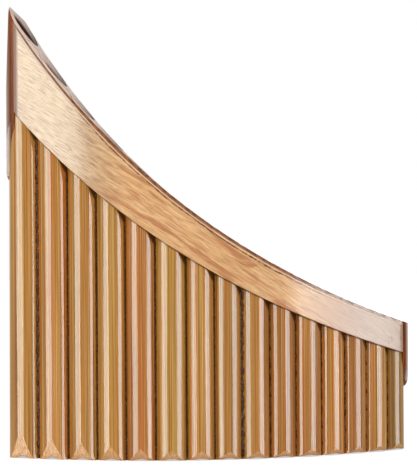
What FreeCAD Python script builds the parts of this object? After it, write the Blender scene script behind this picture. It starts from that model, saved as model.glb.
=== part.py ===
"""Pan flute: fifteen bamboo pipes glued side by side in a curved row, held by two bent wooden
bands and two end cheeks, with a sliding cork in each pipe that sets its note.

The frame: +Z is up, along the pipes. The convex side of the row, which faces the audience, looks
along -Y, and the long pipes stand at -X. The flute stands on the feet of its pipes at Z = 0.
"""

import FreeCAD, Part
import math
import os

import Sketcher
from FreeCAD import Placement, Rotation, Vector

doc = FreeCAD.newDocument("pan_flute")

# Driving dimensions in millimetres
DIMENSIONS = {
    # The row: the arc through the middles of all the pipes
    "row_radius": 295.0,
    # The cane: its outer diameter at the long and the short end, and its wall
    "long_pipe_diameter": 18.7,
    "short_pipe_diameter": 13.6,
    "pipe_wall": 2.3,
    # The blowing line: the height of the lip at the two ends of the row
    "long_end_height": 264.5,
    "short_end_height": 75.9,
    "lip_margin": 0.3,
    # The bands: bent boards on the front and back crests of the pipes
    "band_long_height": 57.0,
    "band_short_height": 18.8,
    "band_thickness": 1.4,
    "band_let_in": 0.3,
    "band_arris": 0.4,
    "band_end_drop": 0.7,
    # The ground feet of the pipes: how high up their crests the grinding reaches
    "long_foot_rise": 17.0,
    "short_foot_rise": 4.5,
    # The end cheeks: wood on the outer sides of the first and the last pipe
    "long_cheek_thickness": 0.8,
    "short_cheek_thickness": 3.0,
    "long_cheek_tail_thickness": 0.3,
    "short_cheek_tail_thickness": 0.9,
    "long_cheek_tip_thickness": 0.3,
    "short_cheek_tip_thickness": 1.9,
    # Down from the bands' lower edge to where a cheek's scoop starts, and to the end of its tongue
    "long_cheek_shoulder": 12.5,
    "long_cheek_tongue": 47.0,
    "short_cheek_shoulder": 1.0,
    "short_cheek_tongue": 20.0,
    # The tip of the long end: its outer side leans in, and its rear corner is rounded off
    "tip_setback": 0.85,
    "tip_drop": 1.9,
    "tip_lean": 2.1,
    "tip_lean_height": 51.9,
    "tip_round_width": 14.0,
    "tip_round_drop": 13.6,
    # The corks
    "cork_clearance": 0.05,
    "cork_chamfer": 0.5,
    # Glue that fills the foot of each groove between two pipes
    "glue_depth": 1.0,
    "glue_lift": 1.5,
    # How far a cutting tool runs past what it cuts
    "overrun": 4.0,
}

# Notes: semitones of each pipe above the lowest one, a major scale over two octaves
SEMITONES = (0, 2, 4, 5, 7, 9, 11, 12, 14, 16, 17, 19, 21, 23, 24)
OCTAVE = 12
PIPES = len(SEMITONES)

# Shares
PIPE_FLAT_SHARE = 0.92  # width over the ground flats, of the diameter
TAPER_POWER_SHARE = 2.05  # how late in the row the diameter falls
LIP_STEEPNESS_SHARE = 1.62  # decay of the blowing line along the row
BAND_STEEPNESS_SHARE = 1.37  # decay of the bands' lower edge
LIP_BACK_TILT_SHARE = 0.01  # fall of the lip surface towards the player, per length
LIP_BEVEL_SHARE = 0.9  # fall of the bevels in front of and behind the lip, per length
FOOT_LAND_SHARES = (0.62, 0.06)  # half the land under the longest and shortest foot, of the radius
FOOT_SHARES = (0.33, 0.62, 0.87, 1.12)  # points of a foot's curve, of the way from land to crest
FOOT_STEEPNESS_SHARE = 3.5  # decay of the feet's rise along the row
QUARTER_WAVE_SHARE = 0.846  # the lowest note's quarter wave, of the long end's height
END_CORRECTION_SHARE = 0.85  # of the bore's radius, off the quarter wave
CORK_LENGTH_SHARE = 0.7  # of the bore's diameter
BAND_END_SHARES = (0.27, 0.40)  # where a band ends, of each end pipe's radius past its crest
BAND_BEVEL_SHARES = (-0.03, 0.09)  # where the bevels of those ends start
CHEEK_SIDE_SHARE = 0.5  # half depth of the cheek's flat side, of the end pipe's radius
# The middle of the rounded corner of each cheek, of the end pipe's radius
CHEEK_CORNER_SHARES = ((0.84, 0.83), (0.9, 0.87))
CHEEK_TONGUE_SHARE = 0.7  # half width of its tongue, of the end pipe's radius
CHEEK_INNER_SHARE = 0.88  # the inner edge of its section, of the radius at mid wall
CHEEK_SCOOP_SHARE = (0.77, 0.5)  # a point of the scoop: of the radius, of the drop to the tail
CHEEK_ROUND_SHARE = 0.22  # of the drop, the height of the tongue's rounded end
TIP_ROUND_SHARES = (0.41, 0.34)  # a point of the rounded tip, of its width and of its drop
GLUE_START_SHARE = 0.3  # where the glue starts, of the pipe's radius
GLUE_WIDTH_SHARE = 0.8  # half its width before it is fitted, of its depth
# Cane is never quite even: each pipe's diameter against the smooth taper
CANE_SHARES = (
    (1.05, 1.04, 0.985, 0.97, 1.005)
    + (1.04, 0.97, 0.97, 1.02, 1.0)
    + (1.045, 1.015, 1.02, 1.08, 0.98)
)

STATIONS = 13  # places along the row at which the smooth cutting surfaces are set out

# The sheet that holds the driving dimensions
sheet = doc.addObject("Spreadsheet::Sheet", "Dimensions")
for row, (alias, length) in enumerate(DIMENSIONS.items(), start=1):
    sheet.set(f"A{row}", alias)
    sheet.set(f"B{row}", str(length))
    sheet.setAlias(f"B{row}", alias)
doc.recompute()


class Size:
    """A length: its value in millimetres, and the expression that gives it from the sheet."""

    def __init__(self, value, text):
        self.value = value
        self.text = text

    def __add__(self, other):
        return Size(self.value + other.value, f"({self.text} + {other.text})")

    def __sub__(self, other):
        return Size(self.value - other.value, f"({self.text} - {other.text})")

    def __mul__(self, share):
        return Size(self.value * share, f"({self.text} * {share})")


def dimension(alias):
    """A driving dimension, read back from its cell."""
    return Size(float(sheet.get(alias)), f"Dimensions.{alias}")


ROW_RADIUS = dimension("row_radius")
LONG_DIAMETER = dimension("long_pipe_diameter")
SHORT_DIAMETER = dimension("short_pipe_diameter")
WALL = dimension("pipe_wall")
LONG_HEIGHT = dimension("long_end_height")
SHORT_HEIGHT = dimension("short_end_height")
LONG_FOOT_RISE = dimension("long_foot_rise")
SHORT_FOOT_RISE = dimension("short_foot_rise")
OVERRUN = dimension("overrun")
NOTHING = Size(0.0, "0")


# The row


def even_diameter(share):
    """The smooth taper of the cane: the diameter at a share of the way along the row."""
    return LONG_DIAMETER - (LONG_DIAMETER - SHORT_DIAMETER) * share**TAPER_POWER_SHARE


def pipe_radius(index):
    """Outer radius of one pipe, with the unevenness of its own cane."""
    return even_diameter(index / (PIPES - 1)) * (CANE_SHARES[index] / 2)


def flat_distance(index):
    """From a pipe's middle to each of its ground flats."""
    return pipe_radius(index) * PIPE_FLAT_SHARE


# Each pipe fills a sector of the row, so its two flats lie in planes through the arc's axis
HALF_SECTORS = [math.atan(flat_distance(i).value / ROW_RADIUS.value) for i in range(PIPES)]
HALF_ROW = sum(HALF_SECTORS)
PIPE_ANGLES = [sum(HALF_SECTORS[:i]) * 2 + HALF_SECTORS[i] - HALF_ROW for i in range(PIPES)]
ARC_AXIS = Vector(0, ROW_RADIUS.value, 0)


def along_row(angle):
    """Share of the way along the row, 0 at its long end and 1 at its short end."""
    return (angle + HALF_ROW) / (2 * HALF_ROW)


def row_point(angle, outward, height):
    """A point at an angle along the row, outward from the pipes' arc towards the audience."""
    radius = ROW_RADIUS.value + outward
    return ARC_AXIS + Vector(radius * math.sin(angle), -radius * math.cos(angle), height)


def row_placement(angle):
    """Local -Y looks outward, and the local origin is on the pipes' arc, at the foot."""
    return Placement(row_point(angle, 0, 0), Rotation(Vector(0, 0, 1), math.degrees(angle)))


def falling_curve(angle, long_height, short_height, steepness):
    """A height that decays along the row as pipe lengths do, between the heights at its ends."""
    end_decay = math.exp(-steepness)
    share = (math.exp(-steepness * along_row(angle)) - end_decay) / (1 - end_decay)
    return short_height + (long_height - short_height) * share


def lip_height(angle):
    """Height of the front lip of the mouths."""
    return falling_curve(angle, LONG_HEIGHT, SHORT_HEIGHT, LIP_STEEPNESS_SHARE).value


LONG_BAND_FOOT = LONG_HEIGHT - dimension("band_long_height")
SHORT_BAND_FOOT = SHORT_HEIGHT - dimension("band_short_height")


def band_foot_height(angle):
    """Height of the bands' lower edge."""
    return falling_curve(angle, LONG_BAND_FOOT, SHORT_BAND_FOOT, BAND_STEEPNESS_SHARE).value


def lip_outward(angle):
    """The lip lies just outside the bores, so it moves in as the cane grows thin."""
    share = min(max(along_row(angle), 0), 1)
    return even_diameter(share).value / 2 - WALL.value + dimension("lip_margin").value


# Tools that shape the whole row after it is glued


def smooth_edge(points):
    """A smooth curve through points that are set out at the same stations on every curve."""
    curve = Part.BSplineCurve()
    count = len(points) - 1
    curve.interpolate(Points=points, Parameters=[step / count for step in range(count + 1)])
    return curve.toShape()


def stations():
    """Angles along the row that also reach past both its ends."""
    past = (dimension("short_cheek_thickness").value + OVERRUN.value) / ROW_RADIUS.value
    span = 2 * (HALF_ROW + past)
    return [span * step / (STATIONS - 1) - span / 2 for step in range(STATIONS)]


def ruled_cutter(name, height_at, inner_outward, outer_outward, reach):
    """All that lies above (reach > 0) or below a surface whose rulings point at the arc's axis."""
    edges = []
    for outward_at in (inner_outward, outer_outward):
        points = [row_point(a, outward_at(a), height_at(a, outward_at(a))) for a in stations()]
        edges.append(smooth_edge(points))
    tool = doc.addObject("Part::Feature", name)
    tool.Shape = Part.makeRuledSurface(edges[0], edges[1]).extrude(Vector(0, 0, reach))
    return tool


ROW_DEPTH = LONG_DIAMETER.value / 2 + dimension("band_thickness").value + OVERRUN.value
CLEAR_ABOVE = LONG_HEIGHT.value + 2 * OVERRUN.value


def lip_surface(angle, outward):
    """Height of the lip surface, which tilts down towards the player."""
    return lip_height(angle) - (lip_outward(angle) - outward) * LIP_BACK_TILT_SHARE


def front_bevel(angle, outward):
    """Height of the bevel that falls from the lip towards the audience."""
    return lip_height(angle) - (outward - lip_outward(angle)) * LIP_BEVEL_SHARE


def back_bevel(angle, outward):
    """Height of the bevel behind the mouths, which eases the edge for the player's lip."""
    edge = -lip_outward(angle)
    return lip_surface(angle, edge) - (edge - outward) * LIP_BEVEL_SHARE


lip_cutter = ruled_cutter(
    "lip_cutter", lip_surface, lambda a: -ROW_DEPTH, lambda a: ROW_DEPTH, CLEAR_ABOVE
)
front_bevel_cutter = ruled_cutter(
    "front_bevel_cutter",
    front_bevel,
    lambda a: lip_outward(a) - WALL.value,
    lambda a: ROW_DEPTH,
    CLEAR_ABOVE,
)
back_bevel_cutter = ruled_cutter(
    "back_bevel_cutter",
    back_bevel,
    lambda a: -ROW_DEPTH,
    lambda a: WALL.value - lip_outward(a),
    CLEAR_ABOVE,
)




def make_tip_cutter():
    """All that lies outside the tip of the long end: a side that leans in to the tip, then an arc
    that falls from it over the rear corner. Both run level, from front to back."""
    radius = pipe_radius(0).value
    flat_edge = Vector(-flat_distance(0).value, -radius * math.sqrt(1 - PIPE_FLAT_SHARE**2), 0)
    edge = row_placement(PIPE_ANGLES[0]).multVec(flat_edge).x
    front = Vector(0, -ROW_DEPTH, 0)
    width = dimension("tip_round_width").value
    drop = dimension("tip_round_drop").value
    tip = front + Vector(edge + dimension("tip_setback").value, 0, LONG_HEIGHT.value)
    tip.z -= dimension("tip_drop").value
    foot = tip - Vector(dimension("tip_lean").value, 0, dimension("tip_lean_height").value)
    over = tip + Vector(width * TIP_ROUND_SHARES[0], 0, -drop * TIP_ROUND_SHARES[1])
    end = tip + Vector(width, 0, -drop)
    clear = Vector(foot.x - OVERRUN.value, front.y, CLEAR_ABOVE)
    corners = [end, Vector(end.x, front.y, CLEAR_ABOVE), clear, Vector(clear.x, front.y, foot.z), foot]
    sides = [Part.makePolygon([*corners, tip]), Part.Arc(tip, over, end).toShape()]
    tool = doc.addObject("Part::Feature", "tip_cutter")
    tool.Shape = Part.Face(Part.Wire(sides)).extrude(Vector(0, 6 * ROW_DEPTH, 0))
    return tool


row_cutter = doc.addObject("Part::MultiFuse", "row_cutter")
row_cutter.Shapes = [lip_cutter, front_bevel_cutter, back_bevel_cutter, make_tip_cutter()]


# Sketches


def origin_plane(body, role):
    """One of a body's own origin planes."""
    return next(plane for plane in body.Origin.OriginFeatures if plane.Role == role)


def new_sketch(body, name, role):
    """An empty sketch on one of the body's own origin planes."""
    sketch = body.newObject("Sketcher::SketchObject", name)
    sketch.AttachmentSupport = (origin_plane(body, role), [""])
    sketch.MapMode = "FlatFace"
    return sketch


def constrain(sketch, kind, places, size):
    """Adds one dimension and binds it to the sheet."""
    number = sketch.addConstraint(Sketcher.Constraint(kind, *places, size.value))
    sketch.setExpression(f"Constraints[{number}]", size.text)


ORIGIN = (-1, 1)
ACROSS_AXIS = -1
UP_AXIS = -2


def fix_point(sketch, geometry, corner, place):
    """Holds a point of the sketch at its two sizes from the origin."""
    for kind, size, axis in (("DistanceX", place[0], UP_AXIS), ("DistanceY", place[1], ACROSS_AXIS)):
        if size is NOTHING:
            sketch.addConstraint(Sketcher.Constraint("PointOnObject", geometry, corner, axis))
        else:
            constrain(sketch, kind, (*ORIGIN, geometry, corner), size)


def flat_vector(place):
    """A place on a sketch as a vector."""
    return Vector(place[0].value, place[1].value, 0)


def draw_outline(sketch, corners):
    """Draws a closed outline. Each corner is its place and, where the side that leaves it is an
    arc, a second place that the arc passes through."""
    sides = []
    for index, (place, via) in enumerate(corners):
        following = corners[(index + 1) % len(corners)][0]
        start, end = flat_vector(place), flat_vector(following)
        if via is None:
            side = sketch.addGeometry(Part.LineSegment(start, end), False)
            sides.append((side, 1, 2))
            continue
        arc = Part.Arc(start, flat_vector(via), end)
        side = sketch.addGeometry(arc, False)
        turned = (flat_vector(via) - start).cross(end - start).z < 0
        sides.append((side, 2, 1) if turned else (side, 1, 2))
    for index, (side, first, last) in enumerate(sides):
        next_side, next_first, _ = sides[(index + 1) % len(sides)]
        sketch.addConstraint(Sketcher.Constraint("Coincident", side, last, next_side, next_first))
        place, via = corners[index]
        fix_point(sketch, side, first, place)
        if via is not None:
            point = sketch.addGeometry(Part.Point(flat_vector(via)), True)
            fix_point(sketch, point, 1, via)
            sketch.addConstraint(Sketcher.Constraint("PointOnObject", point, 1, side))


def pad(body, sketch, name, length, midplane=False):
    """Pads a sketch by a bound length."""
    feature = body.newObject("PartDesign::Pad", name)
    feature.Profile = sketch
    feature.Midplane = midplane
    feature.setExpression("Length", length.text)
    sketch.Visibility = False
    return feature


def pocket_through(body, sketch, name):
    """Cuts a sketch right through the body, both ways."""
    feature = body.newObject("PartDesign::Pocket", name)
    feature.Profile = sketch
    feature.Type = "ThroughAll"
    feature.Midplane = True
    sketch.Visibility = False
    return feature


# Pipes


def draw_pipe_section(sketch, index):
    """A ring of cane with a flat ground on each side, each flat in a plane through the arc's axis."""
    radius = pipe_radius(index)
    half_width = flat_distance(index)
    slope = half_width.value / ROW_RADIUS.value
    # A flat is x = half_width - slope * y, and its corners are where it meets the circle
    root = math.sqrt(radius.value**2 * (1 + slope**2) - half_width.value**2)
    back = (slope * half_width.value + root) / (1 + slope**2)
    front = (slope * half_width.value - root) / (1 + slope**2)
    corners = {
        (side, end): Vector(side * (half_width.value - slope * depth), depth, 0)
        for side in (-1, 1)
        for end, depth in (("front", front), ("back", back))
    }
    front_arc = sketch.addGeometry(
        Part.Arc(corners[-1, "front"], Vector(0, -radius.value, 0), corners[1, "front"]), False
    )
    right_flat = sketch.addGeometry(Part.LineSegment(corners[1, "front"], corners[1, "back"]), False)
    back_arc = sketch.addGeometry(
        Part.Arc(corners[1, "back"], Vector(0, radius.value, 0), corners[-1, "back"]), False
    )
    left_flat = sketch.addGeometry(Part.LineSegment(corners[-1, "back"], corners[-1, "front"]), False)
    circle = Part.Circle(Vector(0, 0, 0), Vector(0, 0, 1), (radius - WALL).value)
    bore = sketch.addGeometry(circle, False)
    axis_point = sketch.addGeometry(Part.Point(Vector(0, ROW_RADIUS.value, 0)), True)

    for round_side in (front_arc, back_arc, bore):
        sketch.addConstraint(Sketcher.Constraint("Coincident", round_side, 3, *ORIGIN))
    constrain(sketch, "Radius", (front_arc,), radius)
    sketch.addConstraint(Sketcher.Constraint("Equal", front_arc, back_arc))
    constrain(sketch, "Radius", (bore,), radius - WALL)
    for side, following in (
        (front_arc, right_flat),
        (right_flat, back_arc),
        (back_arc, left_flat),
        (left_flat, front_arc),
    ):
        sketch.addConstraint(Sketcher.Constraint("Coincident", side, 2, following, 1))
    fix_point(sketch, axis_point, 1, (NOTHING, ROW_RADIUS))
    for flat, side in ((right_flat, 1), (left_flat, -1)):
        sketch.addConstraint(Sketcher.Constraint("PointOnObject", axis_point, 1, flat))
        middle = sketch.addGeometry(Part.Point(Vector(side * half_width.value, 0, 0)), True)
        fix_point(sketch, middle, 1, (half_width * side, NOTHING))
        sketch.addConstraint(Sketcher.Constraint("PointOnObject", middle, 1, flat))


def foot_curve(index, share):
    """A point of the curve that is ground under a foot, at a share of the way from the edge of its
    land to its crest: it rises with the share's square."""
    angle = PIPE_ANGLES[index]
    rise = falling_curve(angle, LONG_FOOT_RISE, SHORT_FOOT_RISE, FOOT_STEEPNESS_SHARE)
    long_land, short_land = FOOT_LAND_SHARES
    land_share = long_land + (short_land - long_land) * along_row(angle)
    radius = pipe_radius(index)
    return (radius * (land_share + (1 - land_share) * share), rise * share**2)


def draw_foot(sketch, index):
    """What is ground off a foot in front and behind, seen along the row: each side curves up from
    the land, through a knee, to past the crest."""
    below = OVERRUN * -1
    for side in (-1, 1):

        def on_foot(share):
            out, up = foot_curve(index, share)
            return (out * side, up)

        land = on_foot(0)[0]
        lower, knee, upper, past = (on_foot(share) for share in FOOT_SHARES)
        clear = past[0] + OVERRUN * side
        corners = [
            ((land, NOTHING), lower),
            (knee, upper),
            (past, None),
            ((clear, past[1]), None),
            ((clear, below), None),
            ((land, below), None),
        ]
        draw_outline(sketch, corners)


def make_cane(index):
    """The cane of one pipe before its mouth is cut: a padded ring with a ground foot."""
    number = f"{index + 1:02d}"
    body = doc.addObject("PartDesign::Body", f"cane_{number}")
    section = new_sketch(body, f"cane_section_{number}", "XY_Plane")
    draw_pipe_section(section, index)
    pad(body, section, f"cane_pad_{number}", LONG_HEIGHT + OVERRUN)
    foot = new_sketch(body, f"cane_foot_{number}", "YZ_Plane")
    draw_foot(foot, index)
    pocket_through(body, foot, f"cane_foot_cut_{number}")
    body.Placement = row_placement(PIPE_ANGLES[index])
    return body


canes = [make_cane(index) for index in range(PIPES)]


def cut(name, base, tool):
    """One shape less another, as an object of the document."""
    result = doc.addObject("Part::Cut", name)
    result.Base = base
    result.Tool = tool
    return result


# Bands


def make_blank(name, side):
    """A tall thin board bent round the crests on one side of the row, with bevelled ends."""
    reach = Vector(0, 0, CLEAR_ABOVE)
    thickness = dimension("band_thickness").value
    let_in = dimension("band_let_in").value
    drop = dimension("band_end_drop").value
    ends = {}
    for index, outer_way, end_share, bevel_share in (
        (0, -1, BAND_END_SHARES[0], BAND_BEVEL_SHARES[0]),
        (PIPES - 1, 1, BAND_END_SHARES[1], BAND_BEVEL_SHARES[1]),
    ):
        radius = pipe_radius(index).value
        seat = radius - let_in
        place = row_placement(PIPE_ANGLES[index])
        for part_name, share, height in (
            ("inner", end_share, seat),
            ("lip", end_share, seat + thickness - drop),
            ("bevel", bevel_share, seat + thickness),
        ):
            local = Vector(outer_way * radius * share, -side * height, 0)
            ends[part_name, outer_way] = place.multVec(local)
    seat_middle = side * (even_diameter(1 / 2).value / 2 - let_in)
    inner = Part.Arc(ends["inner", -1], row_point(0, seat_middle, 0), ends["inner", 1]).toShape()
    outer_middle = row_point(0, seat_middle + side * thickness, 0)
    outer = Part.Arc(ends["bevel", -1], outer_middle, ends["bevel", 1]).toShape()
    sides = [inner, outer]
    for way in (-1, 1):
        sides.append(Part.makeLine(ends["inner", way], ends["lip", way]))
        sides.append(Part.makeLine(ends["lip", way], ends["bevel", way]))
    blank = doc.addObject("Part::Feature", f"{name}_blank")
    blank.Shape = Part.Face(Part.Wire(Part.__sortEdges__(sides))).extrude(reach)
    return blank


def make_band_foot_cutter(name, side):
    """Cuts a band's lower edge square to its face, then breaks its outer corner."""
    arris = dimension("band_arris").value
    thickness = dimension("band_thickness").value

    def face_outward(angle):
        share = min(max(along_row(angle), 0), 1)
        return even_diameter(share).value / 2 - dimension("band_let_in").value + thickness

    def square_edge(angle, outward):
        return band_foot_height(angle)

    def broken_corner(angle, outward):
        return band_foot_height(angle) + arris - (face_outward(angle) - abs(outward))

    def near(angle):
        return side * (face_outward(angle) - 2 * thickness)

    def far(angle):
        return side * (face_outward(angle) + OVERRUN.value)

    tool = doc.addObject("Part::MultiFuse", name)
    tool.Shapes = [
        ruled_cutter(f"{name}_square", square_edge, near, far, -CLEAR_ABOVE),
        ruled_cutter(f"{name}_broken", broken_corner, near, far, -CLEAR_ABOVE),
    ]
    return tool


boards = []
bands = {}
for band_name, band_side in (("front_band", 1), ("back_band", -1)):
    foot_tool = make_band_foot_cutter(f"{band_name}_foot_cutter", band_side)
    board = cut(f"{band_name}_board", make_blank(band_name, band_side), foot_tool)
    boards.append(board)
    bands[band_name] = cut(band_name, board, row_cutter)
both_boards = doc.addObject("Part::Compound", "both_boards")
both_boards.Links = boards


# Finished pipes


def make_pipe(index):
    """A cane with its mouth cut to the lip and its crests eased for the bands."""
    number = f"{index + 1:02d}"
    mouth_cut = cut(f"mouth_cut_{number}", canes[index], row_cutter)
    return cut(f"pipe_{number}", mouth_cut, both_boards)


pipes = [make_pipe(index) for index in range(PIPES)]


# Cheeks


def make_cheek(name, index, way, band_foot, top):
    """A block glued round the outer side of an end pipe, scooped below the bands to a tongue."""
    radius = pipe_radius(index)
    flat = flat_distance(index)
    end_name = name.removesuffix("_end_cheek")
    thickness = dimension(f"{end_name}_cheek_thickness")
    tail_thickness = dimension(f"{end_name}_cheek_tail_thickness")
    tip_thickness = dimension(f"{end_name}_cheek_tip_thickness")
    shoulder = band_foot - dimension(f"{end_name}_cheek_shoulder")
    tail = band_foot - dimension(f"{end_name}_cheek_tongue")
    rim = radius - dimension("band_let_in") + dimension("band_thickness") - dimension("band_end_drop")
    inside_wall = radius - WALL * (1 / 2)
    body = doc.addObject("PartDesign::Body", f"{name}_block")

    plan = new_sketch(body, f"{name}_plan", "XY_Plane")
    corner_across, corner_out = CHEEK_CORNER_SHARES[way > 0]
    end_across = radius * (way * BAND_END_SHARES[way > 0])
    inner_out = inside_wall * CHEEK_INNER_SHARE
    side_across = (flat + thickness) * way
    side_out = radius * CHEEK_SIDE_SHARE
    corner_across = radius * (way * corner_across)
    corner_out = radius * corner_out
    inner_across = (flat - WALL * (1 / 2)) * way
    corners = [
        ((end_across, rim * -1), (corner_across, corner_out * -1)),
        ((side_across, side_out * -1), None),
        ((side_across, side_out), (corner_across, corner_out)),
        ((end_across, rim), None),
        ((end_across, inner_out), (inner_across, NOTHING)),
        ((end_across, inner_out * -1), None),
    ]
    draw_outline(plan, corners)
    pad(body, plan, f"{name}_pad", top)

    drop = shoulder - tail
    tongue = radius * CHEEK_TONGUE_SHARE
    scoop_out, scoop_drop = CHEEK_SCOOP_SHARE
    scoop_out = radius * scoop_out
    scoop_height = tail + drop * scoop_drop
    round_height = tail + drop * CHEEK_ROUND_SHARE
    clear = rim + OVERRUN
    below = OVERRUN * -1
    scoop = new_sketch(body, f"{name}_scoop", "YZ_Plane")
    corners = [
        ((clear * -1, shoulder), None),
        ((rim * -1, shoulder), (scoop_out * -1, scoop_height)),
        ((tongue * -1, round_height), (NOTHING, tail)),
        ((tongue, round_height), (scoop_out, scoop_height)),
        ((rim, shoulder), None),
        ((clear, shoulder), None),
        ((clear, below), None),
        ((clear * -1, below), None),
    ]
    draw_outline(scoop, corners)
    pocket_through(body, scoop, f"{name}_scoop_cut")

    swell = new_sketch(body, f"{name}_swell", "XZ_Plane")
    tail_across = (flat + tail_thickness) * way
    tip_across = (flat + tip_thickness) * way
    clear_across = (flat + thickness + OVERRUN) * way
    middle_height = (top + tail) * (1 / 2)
    corners = [
        ((tail_across, tail), (side_across, middle_height)),
        ((tip_across, top), None),
        ((clear_across, top), None),
        ((clear_across, tail), None),
    ]
    draw_outline(swell, corners)
    pocket_through(body, swell, f"{name}_swell_cut")

    body.Placement = row_placement(PIPE_ANGLES[index])
    fitted = cut(f"{name}_fitted", body, canes[index])
    return cut(name, fitted, row_cutter)


cheeks = [
    make_cheek("long_end_cheek", 0, -1, LONG_BAND_FOOT, LONG_HEIGHT + OVERRUN * 2),
    make_cheek("short_end_cheek", PIPES - 1, 1, SHORT_BAND_FOOT, SHORT_HEIGHT + OVERRUN * 2),
]


# Glue in the grooves


def make_glue(name, side):
    """Glue along the foot of every groove between two pipes on one side of the row."""
    depth = dimension("glue_depth")
    lift = dimension("glue_lift").value
    seams = []
    for index in range(PIPES - 1):
        radius = (pipe_radius(index) + pipe_radius(index + 1)) * (1 / 2)
        inner = radius * GLUE_START_SHARE
        outer = radius * math.sqrt(1 - PIPE_FLAT_SHARE**2) + depth
        half_width = depth * GLUE_WIDTH_SHARE
        blank = doc.addObject("Part::Box", f"{name}_blank_{index + 1:02d}")
        blank.setExpression("Length", (half_width * 2).text)
        blank.setExpression("Width", (outer - inner).text)
        blank.setExpression("Height", LONG_HEIGHT.text)
        start = Vector(-half_width.value, -outer.value if side > 0 else inner.value, lift)
        place = row_placement(PIPE_ANGLES[index] + HALF_SECTORS[index])
        blank.Placement = place * Placement(start, Rotation())
        one_side = cut(f"{name}_side_{index + 1:02d}", blank, canes[index])
        seams.append(cut(f"{name}_seam_{index + 1:02d}", one_side, canes[index + 1]))
    group = doc.addObject("Part::Compound", f"{name}_seams")
    group.Links = seams
    return cut(name, group, row_cutter)


glue = [make_glue("front_glue", 1), make_glue("back_glue", -1)]


# Corks


def make_cork(index):
    """A turned cork, chamfered where it leads into the bore, that slides there to tune the note."""
    number = f"{index + 1:02d}"
    bore = pipe_radius(index) - WALL
    radius = bore - dimension("cork_clearance")
    chamfer = dimension("cork_chamfer")
    length = bore * (2 * CORK_LENGTH_SHARE)
    body = doc.addObject("PartDesign::Body", f"cork_{number}")
    sketch = new_sketch(body, f"cork_half_{number}", "XZ_Plane")
    corners = [
        ((NOTHING, NOTHING), None),
        ((radius, NOTHING), None),
        ((radius, length - chamfer), None),
        ((radius - chamfer, length), None),
        ((NOTHING, length), None),
    ]
    draw_outline(sketch, corners)
    turned = body.newObject("PartDesign::Revolution", f"cork_turned_{number}")
    turned.Profile = sketch
    turned.ReferenceAxis = (sketch, ["V_Axis"])
    turned.Angle = 360
    sketch.Visibility = False
    quarter_wave = LONG_HEIGHT * (QUARTER_WAVE_SHARE * 2 ** (-SEMITONES[index] / OCTAVE))
    column = quarter_wave - bore * END_CORRECTION_SHARE
    top = lip_surface(PIPE_ANGLES[index], 0) - column.value
    lift = Placement(Vector(0, 0, top - length.value), Rotation())
    body.Placement = row_placement(PIPE_ANGLES[index]) * lift
    return body


corks = [make_cork(index) for index in range(PIPES)]


# Place, check and write


def centre_on_origin():
    """Shifts the flute so that the origin is under the middle of its bounding box, whose sides are
    those of the front band and the cheeks."""
    outermost = [bands["front_band"], *cheeks]
    doc.recompute(outermost)
    box = FreeCAD.BoundBox()
    for sub_part in outermost:
        box.add(sub_part.Shape.optimalBoundingBox(False, False))
    shift = Placement(Vector(-box.Center.x, -box.Center.y, 0), Rotation())
    for sub_part in sub_parts:
        sub_part.Placement = shift * sub_part.Placement
    print(f"shifted by {shift.Base}")


def check_document():
    """Stops the script if any object failed or any sub-part has no sound solid."""
    doc.recompute()
    for thing in doc.Objects:
        if "Invalid" in thing.State or "Error" in thing.State:
            raise RuntimeError(f"{thing.Label} failed: {thing.State}")
    for thing in sub_parts:
        if thing.Shape.isNull() or not thing.Shape.isValid() or not thing.Shape.Solids:
            raise RuntimeError(f"{thing.Label} has no valid solid")


sub_parts = pipes + corks + list(bands.values()) + cheeks + glue
centre_on_origin()
check_document()
os.makedirs("parts", exist_ok=True)
for sub_part in sub_parts:
    sub_part.Shape.exportStep(f"parts/{sub_part.Label}.step")
    box = sub_part.Shape.BoundBox
    print(
        f"{sub_part.Label}: {len(sub_part.Shape.Solids)} solids, {sub_part.Shape.Volume:.0f} mm3,",
        f"z {box.ZMin:.1f} to {box.ZMax:.1f}",
    )
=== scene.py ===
# %% [markdown]
# # A pan flute in bamboo
#
# Fifteen lacquered canes stand side by side in a curved row. Two bent wooden bands and two end
# cheeks hold them, and each cane has a cork inside. The CAD model comes in as a frame that fixes
# every size and every joint. This lesson dresses that frame: the canes, the bands and the glue are
# worked out again with numpy as finer surfaces, and each piece gets its own finish.

# %% Load the frame
import math

import bpy
import numpy as np
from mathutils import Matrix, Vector


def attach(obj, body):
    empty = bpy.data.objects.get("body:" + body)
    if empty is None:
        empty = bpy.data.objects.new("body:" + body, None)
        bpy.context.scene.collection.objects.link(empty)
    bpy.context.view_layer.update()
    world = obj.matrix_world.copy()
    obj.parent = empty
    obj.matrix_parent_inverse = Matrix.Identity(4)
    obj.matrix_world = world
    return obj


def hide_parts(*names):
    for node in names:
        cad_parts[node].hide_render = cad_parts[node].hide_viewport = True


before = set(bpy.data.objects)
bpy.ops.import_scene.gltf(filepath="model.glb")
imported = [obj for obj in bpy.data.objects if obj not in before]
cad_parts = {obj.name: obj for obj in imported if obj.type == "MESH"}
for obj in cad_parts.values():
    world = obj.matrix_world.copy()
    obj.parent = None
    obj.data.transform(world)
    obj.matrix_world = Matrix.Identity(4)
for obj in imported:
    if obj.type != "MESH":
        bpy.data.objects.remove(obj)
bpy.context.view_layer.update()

# %% [markdown]
# ## The row
#
# The pipes stand on one arc. A few lengths, in metres, give every pipe its place: the radius of
# the arc, the cane's diameter at both ends, and how the diameter falls along the row. Real canes
# are picked by eye, so each one is a little thicker or thinner than the even fall would make it.
# Each pipe is ground flat on both sides, so it fills a sector of the arc between its neighbours.

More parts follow.
